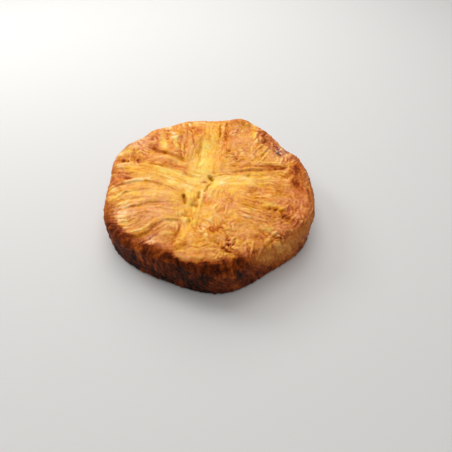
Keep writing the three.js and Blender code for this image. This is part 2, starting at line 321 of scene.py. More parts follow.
def flaky(x: np.ndarray, y: np.ndarray) -> np.ndarray:
    """Flakes a unit apart that rise toward -y and end in a steep edge, about -0.35 to 0.6.

    Args:
        x: Points' place along the flakes' edges.
        y: Points' place across them, one flake to a unit.

    Returns:
        Height at each point.
    """
    broad, fine, edge = 0.85, 0.3, 0.8
    least, more, level = 0.25, 0.95, 0.35
    depth = -y + broad * ripple(x, 0.7 * y) + fine * ripple(2.6 * x + 4.1, 1.6 * y + 7.9)
    share = depth - np.floor(depth)
    rise = share - smooth_between(share, edge, 1)
    amount = smooth_between(unevenness(0.9 * x, 5.3 * np.floor(depth)), -0.3, 0.25)
    return rise * (least + more * amount) - level


@dataclass(frozen=True)
class Nearest:
    """Where points lie from a curve: distance, side (+1 on its left) and share along."""

    distance: np.ndarray
    side: np.ndarray
    along: np.ndarray


def nearest_on(
    start: Place,
    end: Place,
    bow: float,
    x: np.ndarray,
    y: np.ndarray,
    steps: int = 14,
) -> Nearest:
    """Nearest place on a straight or bowed curve.

    Args:
        start: First end of the curve.
        end: Last end of the curve.
        bow: How far its middle is pushed to its left.
        x: Points' x.
        y: Points' y.
        steps: Straight pieces that stand for the curve.

    Returns:
        The distance, side and share along of each point.
    """
    first = np.array(start, float)
    last = np.array(end, float)
    along = last - first
    along /= max(np.hypot(*along), NO_LENGTH)
    middle = (first + last) / 2 + 2 * bow * np.array((-along[1], along[0]))
    if bow == 0:
        steps = 1
    share = np.linspace(0, 1, steps + 1)[:, None]
    run = (1 - share) ** 2 * first + 2 * share * (1 - share) * middle + share**2 * last
    best = np.full_like(x, np.inf)
    side = np.ones_like(x)
    where = np.zeros_like(x)
    for i in range(steps):
        dx, dy = run[i + 1] - run[i]
        px, py = x - run[i][0], y - run[i][1]
        t = np.clip((px * dx + py * dy) / max(dx * dx + dy * dy, NO_LENGTH), 0, 1)
        distance = np.hypot(px - t * dx, py - t * dy)
        closer = distance < best
        best = np.where(closer, distance, best)
        side = np.where(closer, np.where(dx * py - dy * px < 0, -1.0, 1.0), side)
        where = np.where(closer, (i + t) / steps, where)
    return Nearest(best, side, where)


@dataclass(frozen=True)
class Spots:
    """Places on the cake's smooth surface, which its relief then pushes in or out.

    Args:
        angle: Angle round the tin's axis.
        x: Place across, on the smooth surface.
        y: Place deep, on the smooth surface.
        z: Height, on the smooth surface.
        turn: Turn over the round shoulder: 0 on the crust, a quarter turn on the wall.
        down: Way down from the flat crust's edge over the side, below 0 on the crust.
        u: Place across with the side laid out flat round the crust.
        v: Place deep with the side laid out flat round the crust.
        base: True on the flat underside.
    """

    angle: np.ndarray
    x: np.ndarray
    y: np.ndarray
    z: np.ndarray
    turn: np.ndarray
    down: np.ndarray
    u: np.ndarray
    v: np.ndarray
    base: np.ndarray


@dataclass
class CrustShape:
    """The cake's form: a slumped drum with a folded crust, in mm."""

    wall_radius: float = 101.4
    crust_height: float = 41
    shoulder_round: float = 10
    wall_lean: float = 2.8
    foot_round: float = 1.6
    foot_height: float = 2.4
    wall_belly: float = 1.2
    wrinkle_length: float = 26
    warp_size: float = 17
    warp_reach: float = 5
    crease_fade: float = 0.22
    crease_variety: float = 1.1
    crease_pieces: float = 6
    crease_width_share: float = 0.42
    crease_depth_share: float = 0.7
    pit_width_share: float = 0.45
    fan_share: float = 0.5
    shoulder_blend: float = 0.3
    base_level: float = 1e-3

    @property
    def wall_top(self) -> float:
        """Height where the wall meets the round shoulder."""
        return self.crust_height - self.shoulder_round

    def radius_at(self, angle: np.ndarray) -> np.ndarray:
        """Radius of the wall round the cake.

        Args:
            angle: Angles round the tin's axis.

        Returns:
            Radius at each angle.
        """
        radius = np.full_like(angle, self.wall_radius)
        for wave in OUTLINE_WAVES:
            radius += wave.depth * np.cos(wave.waves * (angle - math.radians(wave.peak)))
        return radius

    def warped(self, x: np.ndarray, y: np.ndarray) -> tuple[np.ndarray, np.ndarray]:
        """Places pushed aside unevenly, so that folds drawn there wander.

        Args:
            x: Points' x.
            y: Points' y.

        Returns:
            The moved points' x and y.
        """
        size = self.warp_size
        across = x + self.warp_reach * unevenness(x / size, y / size)
        deep = y + self.warp_reach * unevenness(y / size, x / size)
        return across, deep

    def creases(self, x: np.ndarray, y: np.ndarray) -> np.ndarray:
        """Height of the flap edges and furrows.

        Args:
            x: Points' x.
            y: Points' y.

        Returns:
            Height at each point.
        """
        height = np.zeros_like(x)
        for row, crease in enumerate(CREASES):
            near = nearest_on(crease.start, crease.end, crease.bow, x, y)
            fade = smooth_between(near.along, 0, self.crease_fade)
            fade *= 1 - smooth_between(near.along, 1 - self.crease_fade, 1)
            piece = unevenness(near.along * self.crease_pieces, np.full_like(x, row))
            strength = fade * (1 + self.crease_variety * piece)
            width = crease.width * self.crease_width_share
            rise = near.side * smooth_between(near.distance, 0, width)
            rise *= np.exp(-near.distance / crease.reach)
            cut = self.crease_depth_share * crease.depth * bell(near.distance, width)
            height += strength * (crease.step / 2 * rise - cut)
        return height

    def wrinkles(self, x: np.ndarray, y: np.ndarray) -> np.ndarray:
        """Height of the long wrinkles that fan over the lobes.

        Args:
            x: Points' x.
            y: Points' y.

        Returns:
            Height at each point.
        """
        height = np.zeros_like(x)
        for fan in WRINKLE_FANS:
            ax, ay = fan.middle[0] - fan.pivot[0], fan.middle[1] - fan.pivot[1]
            px, py = x - fan.pivot[0], y - fan.pivot[1]
            direction = np.arctan2(ax * py - ay * px, ax * px + ay * py)
            reach = np.hypot(px, py) / self.wrinkle_length
            mask = bell(np.hypot(x - fan.middle[0], y - fan.middle[1]), fan.radius)
            height += fan.depth * mask * unevenness(fan.count * direction, reach)
        return height

    def crust_relief(self, x: np.ndarray, y: np.ndarray) -> np.ndarray:
        """Height of the crust above its smooth line: every named form, added up.

        Args:
            x: Points' x.
            y: Points' y.

        Returns:
            Height at each point.
        """
        height = np.zeros_like(x)
        for mound in MOUNDS:
            near = np.hypot(x - mound.x, y - mound.y)
            height += mound.height * bell(near, mound.radius)
        for pit in PITS:
            near = nearest_on(pit.start, pit.end, 0, x, y)
            height -= pit.depth * bell(near.distance, pit.width * self.pit_width_share)
        for lump in LUMPS:
            height += lump.height * unevenness(x / lump.size, y / lump.size)
        across, deep = self.warped(x, y)
        fans = self.fan_share * self.wrinkles(across, deep)
        return height + self.creases(across, deep) + fans

    def wall_relief(self, angle: np.ndarray, z: np.ndarray) -> np.ndarray:
        """Belly and lumps of the wall, out from its smooth line.

        Args:
            angle: Points' angle round the tin's axis.
            z: Points' height.

        Returns:
            How far out each point is pushed.
        """
        radius = self.radius_at(angle)
        x, y = radius * np.cos(angle), radius * np.sin(angle)
        out = self.wall_belly * np.sin(np.pi * (z / self.crust_height))
        for lump in WALL_LUMPS:
            lean = lump.slant * z
            out += lump.height * unevenness((x + lean) / lump.size, (y + lean) / lump.size)
        return out

    def spots_of(self, points: np.ndarray) -> Spots:
        """Places on the smooth surface under points of the relief.

        Args:
            points: Array of points, one to a row, in mm in the tin's frame.

        Returns:
            The spots, in the points' order.
        """
        x, y, z = points.T
        angle = np.arctan2(y, x)
        radius = np.hypot(x, y)
        flat = self.radius_at(angle) - self.wall_lean - self.shoulder_round
        upper = (z > self.wall_top) | (radius <= flat)
        base = z < self.base_level
        turn = np.arctan2(radius - flat, np.maximum(z - self.wall_top, 0))
        turn = np.where(upper & (radius <= flat), 0, turn)
        turn = np.where(upper, turn, np.pi / 2)
        out = np.where(upper, np.minimum(radius, flat), flat)
        out = out + self.shoulder_round * np.sin(turn)
        level = self.wall_top + self.shoulder_round * np.cos(turn)
        level = np.where(upper, level, z)
        side = self.shoulder_round * turn + np.maximum(self.wall_top - level, 0)
        down = np.where(turn > 0, side, radius - flat)
        across, deep = np.cos(angle), np.sin(angle)
        x, y = out * across, out * deep
        u, v = (flat + down) * across, (flat + down) * deep
        return Spots(angle, x, y, level, turn, down, u, v, base)

    def settle(self, points: np.ndarray, spots: Spots, fine: np.ndarray) -> np.ndarray:
        """Points moved on to the finished surface.

        Args:
            points: Array of points of the divided solid, in mm in the tin's frame.
            spots: The points' places on the smooth surface.
            fine: Fine relief at each point, added to the named forms.

        Returns:
            The moved points, in the same order.
        """
        on_wall = smooth_between(spots.turn, self.shoulder_blend, np.pi / 2)
        crust = self.crust_relief(spots.x, spots.y)
        wall = self.wall_relief(spots.angle, spots.z)
        upper = spots.z > self.wall_top
        foot = smooth_between(spots.z, 0, self.foot_height)
        lean = self.wall_lean * spots.z / self.wall_top
        wall_out = wall * smooth_between(spots.z, 0, self.wall_top) + fine * foot
        wall_radius = self.radius_at(spots.angle) - lean - self.foot_round * (1 - foot)
        out = (1 - on_wall) * crust + on_wall * wall + fine
        radius = np.hypot(spots.x, spots.y) + out * np.sin(spots.turn)
        radius = np.where(upper, radius, wall_radius + wall_out)
        level = np.where(upper, spots.z + out * np.cos(spots.turn), spots.z)
        moved = np.stack(
            (radius * np.cos(spots.angle), radius * np.sin(spots.angle), level), axis=1
        )
        return np.where(spots.base[:, None], points, moved)


@dataclass(frozen=True)
class SkinPatch:
    """A patch of crust whose skin is finely creased one way.

    Args:
        name: Where it is on the cake.
        x: Its middle across, in mm.
        y: Its middle deep, in mm.
        radius: How far it spreads, in mm.
        angle: Which way its creases run, in degrees; flakes end on their right side.
        across: From one crease to the next, in mm.
        along: Length of one crease, in mm.
        depth: Height of a crease, in mm.
        texture: How it is creased.
    """

    name: str
    x: float
    y: float
    radius: float
    angle: float
    across: float
    along: float
    depth: float
    texture: Texture = Texture.RUCKED


SKIN_PATCHES = (
    SkinPatch("back arm", -8, 34, 15, 85, 4, 24, 0.6),
    SkinPatch("back arm top", -6, 72, 15, 95, 4.5, 16, 0.9),
    SkinPatch("back left, near arm", -25, 62, 15, 105, 5, 16, 1.2),
    SkinPatch("back left, middle", -42, 58, 14, 115, 5.5, 10, 1.2),
    SkinPatch("back left rim", -62, 52, 13, 130, 5.5, 13, 1.1),
    SkinPatch("back left, low", -38, 38, 11, 112, 4.6, 12, 1.2),
    SkinPatch("tongue", -48, 23, 11, 168, 4.2, 18, 0.7),
    SkinPatch("left rim notch", -80, 22, 12, 104, 4, 9, 1),
    SkinPatch("left rim", -89, 4, 10, 176, 5, 9, 1.3, Texture.FLAKY),
    SkinPatch("left arm", -62, 5, 14, 170, 4, 28, 0.9),
    SkinPatch("left arm, near", -30, -5, 13, 160, 3.6, 26, 0.9),
    SkinPatch("left lobe top", -60, -18, 15, 8, 5.5, 34, 0.7, Texture.FLAKY),
    SkinPatch("left lobe side", -82, -24, 13, 24, 4.8, 18, 0.9, Texture.FLAKY),
    SkinPatch("left lobe", -48, -36, 16, 4, 5.6, 42, 0.8, Texture.FLAKY),
    SkinPatch("left lobe low", -74, -46, 12, 8, 4.4, 17, 0.9, Texture.FLAKY),
    SkinPatch("front left lobe", -38, -66, 13, 28, 5.2, 11, 0.7, Texture.FLAKY),
    SkinPatch("front arm", -18, -60, 11, 100, 3.8, 14, 1),
    SkinPatch("front edge", -12, -83, 14, 8, 3.6, 22, 1, Texture.FLAKY),
    SkinPatch("front middle", 4, -62, 12, 118, 4.4, 10, 1.2),
    SkinPatch("middle", -12, -22, 14, 84, 4, 14, 0.7),
    SkinPatch("right arm, near", 22, -4, 15, 2, 3.4, 26, 0.6),
    SkinPatch("right arm, far", 60, -4, 16, -3, 3.8, 20, 0.9),
    SkinPatch("front right, near", 16, -28, 13, 74, 4.6, 10, 0.8),
    SkinPatch("front right, upper", 44, -22, 15, -12, 4.6, 12, 1, Texture.FLAKY),
    SkinPatch("front right", 40, -46, 15, -22, 4.6, 12, 1, Texture.FLAKY),
    SkinPatch("front right blisters", 66, -44, 12, 44, 4, 8, 1.2, Texture.FLAKY),
    SkinPatch("front right rim", 82, -48, 14, 60, 3.4, 8, 1),
    SkinPatch("front right, low", 62, -70, 13, 30, 3.8, 8, 1.1),
    SkinPatch("front, right of middle", 30, -64, 14, 12, 5, 10, 0.9, Texture.FLAKY),
    SkinPatch("front crumbs", 18, -79, 10, 30, 3.6, 5, 1.8),
    SkinPatch("front right edge", 44, -84, 12, 96, 3.6, 10, 1),
    SkinPatch("back right, far", 26, 62, 17, 78, 4.6, 8, 1),
    SkinPatch("back right, right", 46, 60, 15, 64, 4.6, 12, 1.3),
    SkinPatch("back right, low", 50, 34, 15, 58, 5.4, 14, 1.4, Texture.FLAKY),
    SkinPatch("back right, near", 26, 34, 16, 12, 5, 7, 1),
    SkinPatch("back flap top", 11, 76, 9, 88, 3.4, 20, 1.2),
    SkinPatch("back flap", 10, 38, 9, 82, 4.4, 14, 0.8),
    SkinPatch("right flap", 38, 12, 13, 8, 4, 20, 1.1, Texture.FLAKY),
    SkinPatch("right flap, far", 64, 14, 12, 6, 4, 13, 1.3, Texture.FLAKY),
    SkinPatch("back right rim", 66, 48, 10, -55, 3.6, 8, 1.4),
    SkinPatch("right rim, back", 76, 28, 11, 64, 3.8, 10, 1),
    SkinPatch("right rim", 86, 0, 11, 76, 3.8, 9, 0.9),
    SkinPatch("right rim, front", 82, -22, 11, 84, 4.2, 10, 0.7),
    SkinPatch("back rim bulge", 30, 84, 11, 100, 4.8, 8, 1.2),
)


@dataclass(frozen=True)
class Blistered:
    """A patch with brown specks and small open blisters; amount is 0 to 1."""

    name: str
    x: float
    y: float
    radius: float
    amount: float


BLISTERED = (
    Blistered("front right", 62, -50, 26, 1),
    Blistered("front edge", 16, -74, 20, 1),
    Blistered("front arm", -14, -60, 15, 0.5),
    Blistered("front right, upper", 38, -30, 24, 0.5),
    Blistered("right rim", 82, 4, 18, 0.9),
    Blistered("back right rim", 64, 46, 16, 1),
    Blistered("back left rim", -76, 30, 18, 0.7),
    Blistered("back left", -44, 50, 22, 0.35),
    Blistered("left rim", -88, -10, 12, 0.8),
    Blistered("sandy skin", 38, 38, 32, 0.4),
)


@dataclass
class CrustSkin:
    """Fine relief on top of the named forms: creased skin, blisters and grain, in mm."""

    crease_depth: float = 0.85
    warp_size: float = 9.0
    warp_reach: float = 2.6
    calm_size: float = 13.0
    calm_share: float = 0.45
    lively_share: float = 1.3
    lively_between: Pair = (-0.35, 0.3)
    row_shift: Pair = (7.7, 3.1)
    least_weight: float = 1e-3
    blister_size: float = 2.6
    blister_stretch: float = 1.7
    blister_depth: float = 0.6
    blister_from: float = 0.2
    blister_rarer: float = 0.22
    blister_edge: float = 0.16
    grain_size: float = 1.9
    grain_height: float = 0.34
    streak_size: float = 3.6
    streak_height: float = 10
    streak_slant: float = 0.2
    streak_depth: float = 0.95
    wall_lump_size: float = 6.0
    wall_lump_depth: float = 1.0
    wall_length: float = 100
    wall_wander: float = 2.5
    wander_count: float = 11
    wander_height: float = 9
    wall_share: float = 0.6
    wall_turn: Pair = (0.8, 1.5)

    def blisters(self, x: np.ndarray, y: np.ndarray) -> np.ndarray:
        """Depth of the small open blisters.

        Args:
            x: Points' x.
            y: Points' y.

        Returns:
            A share from 0 to about 1 at each point.
        """
        amount = np.zeros_like(x)
        for spot in BLISTERED:
            near = np.hypot(x - spot.x, y - spot.y)
            amount = np.maximum(amount, spot.amount * bell(near, spot.radius))
        size = self.blister_size
        hole = ripple((x + y) / (size * self.blister_stretch) + 3.3, (y - x) / size + 8.1)
        low = self.blister_from + self.blister_rarer * (1 - amount)
        return amount * smooth_between(hole, low, low + self.blister_edge)

    def creased(self, x: np.ndarray, y: np.ndarray) -> np.ndarray:
        """Height of the fine creases, each patch running its own way.

        Args:
            x: Points' x.
            y: Points' y.

        Returns:
            Height at each point.
        """
        size = self.warp_size
        across = x + self.warp_reach * ripple(x / size, y / size)
        deep = y + self.warp_reach * ripple(y / size + 5.5, x / size + 2.2)
        height = np.zeros_like(x)
        total = np.full_like(x, self.least_weight)
        for row, area in enumerate(SKIN_PATCHES):
            px, py = across - area.x, deep - area.y
            heading = math.radians(area.angle)
            along = (px * math.cos(heading) + py * math.sin(heading)) / area.along
            aside = (py * math.cos(heading) - px * math.sin(heading)) / area.across
            weight = bell(np.hypot(px, py), area.radius) ** 2
            texture = flaky if area.texture is Texture.FLAKY else rucked
            skin = texture(along + self.row_shift[0] * row, aside + self.row_shift[1] * row)
            height += weight * area.depth * skin
            total += weight
        size = self.calm_size
        lively = smooth_between(ripple(x / size + 2.7, y / size + 9.1), *self.lively_between)
        share = self.calm_share + (self.lively_share - self.calm_share) * lively
        return self.crease_depth * share * height / total

    def crust(self, spots: Spots) -> np.ndarray:
        """Fine height of the crust: creases, grain and blisters.

        Args:
            spots: Places on the cake's smooth surface.

        Returns:
            Height at each spot, out from the surface.
        """
        grain = self.grain_height * rucked(spots.u / self.grain_size, spots.v / self.grain_size)
        pits = self.blister_depth * self.blisters(spots.u, spots.v)
        return self.creased(spots.u, spots.v) + grain - pits

    def wall(self, spots: Spots) -> np.ndarray:
        """Fine height of the wall: streaks down it, lumps and grain.

        Args:
            spots: Places on the cake's smooth surface.

        Returns:
            Height at each spot, out from the surface.
        """
        turns, rises = spots.angle * self.wander_count, spots.z / self.wander_height
        round_it = spots.angle * self.wall_length + self.wall_wander * ripple(turns, rises)
        lean = round_it + self.streak_slant * spots.z
        streak = rucked(lean / self.streak_size, spots.z / self.streak_height)
        lump = rucked(round_it / self.wall_lump_size, spots.z / self.wall_lump_size)
        grain = self.grain_height * rucked(round_it / self.grain_size, spots.z / self.grain_size)
        return self.streak_depth * streak + self.wall_lump_depth * lump + grain

    def relief(self, spots: Spots) -> np.ndarray:
        """Fine height at each spot, out from the surface.

        Args:
            spots: Places on the cake's smooth surface.

        Returns:
            Height in mm at each spot.
        """
        on_wall = smooth_between(spots.turn, *self.wall_turn)
        return (1 - on_wall) * self.crust(spots) + self.wall_share * on_wall * self.wall(spots)


# --- Colours: how each patch is baked, and where light and shade are painted -----------


STROKE_WIDTH = 2.6  # mm; a wider stroke only colours the crust
STROKE_LIFT = 0.5  # mm of height to each mm of width, over the whole range of bakes
LEVEL_BAKE = 0.4  # a stroke baked this far neither stands up nor cuts in


@dataclass(frozen=True)
class Brush:
    """A baked patch or streak: a stroke from start to end, in mm in the tin's frame.

    A narrow dark stroke is also a cut, and a narrow light one a raised edge. Some strokes paint
    light, shade or a reflection.

    Args:
        name: What it is on the cake.
        start: First end of the stroke.
        end: Last end of the stroke.
        width: How far it spreads from its line.
        bake: How far it is baked, from 0 (raw cream) to 1 (burnt).
        butter: 1 for moist butter-yellow dough, 0 for dry pinkish crust.
        strength: Share of what lies under it that it covers.
        blush: Redder than the rest, or where below 0 more olive; on the back rims that greys a
            painted reflection.
        bow: How far its middle is pushed to its left.
    """

    name: str
    start: Place
    end: Place
    width: float
    bake: float
    butter: float
    strength: float = 0.8
    blush: float = 0.0
    bow: float = 0.0

    @property
    def lift(self) -> float:
        """How far it stands up, or cuts in where below 0.

        Returns:
            Height in mm.
        """
        if self.width > STROKE_WIDTH:
            return 0.0
        return STROKE_LIFT * self.strength * self.width * (LEVEL_BAKE - self.bake)


def patch(
    name: str,
    x: float,
    y: float,
    radius: float,
    bake: float,
    butter: float,
    strength: float = 0.8,
    blush: float = 0.0,
) -> Brush:
    """A round brush mark, given by its middle and radius in mm."""
    return Brush(name, (x, y), (x, y), radius, bake, butter, strength, blush)


BROAD_BRUSHES = (
    patch("back right quarter", 40, 44, 40, 0.38, 0.42, 0.85),
    patch("front right quarter", 42, -42, 42, 0.43, 0.5, 0.85),
    patch("left lobe", -56, -36, 34, 0.33, 0.5, 0.85, 0.08),
    patch("front left lobe", -38, -68, 18, 0.45, 0.3),
    patch("front arm", -8, -68, 24, 0.38, 0.8),
    patch("back left quarter", -44, 48, 34, 0.38, 0.45, 0.85, 0.2),
    patch("back quarter", -12, 70, 24, 0.36, 0.6, 0.8, 0.1),
    patch("middle", -8, -12, 34, 0.26, 0.95),
    Brush("back arm", (-6, 0), (-6, 62), 14, 0.24, 0.95),
    Brush("left rim", (-91, -4), (-86, 28), 8, 0.42, 0.5, 0.75, 0.3),
    Brush("left arm", (-8, -6), (-64, 5), 12, 0.22, 0.85, bow=-3),
    Brush("right arm", (0, -3), (52, -3), 12, 0.22, 0.9),
    Brush("right arm far", (56, -2), (74, -4), 11, 0.43, 0.6, 0.8, 0.1),
    Brush("front right rim", (90, -24), (64, -80), 13, 0.57, 0.35, 0.85, 0.25, bow=4),
    Brush("front right low", (66, -76), (38, -88), 10, 0.54, 0.4, 0.8, 0.2),
    Brush("right rim", (88, 26), (91, -22), 9, 0.52, 0.25, 0.8, 0.3),
    Brush("back right rim", (50, 70), (76, 38), 6, 0.54, 0.05, 0.8, 0.25, bow=-2),
    Brush("left front rim", (-93, -40), (-82, -60), 6, 0.64, 0.5, 0.85, 0.1),
    Brush("front left rim", (-82, -62), (-42, -86), 7, 0.74, 0.4, 0.85, 0.2, bow=-3),
    Brush("front rim", (-44, -88), (26, -93), 4, 0.48, 0.6, 0.7),
)

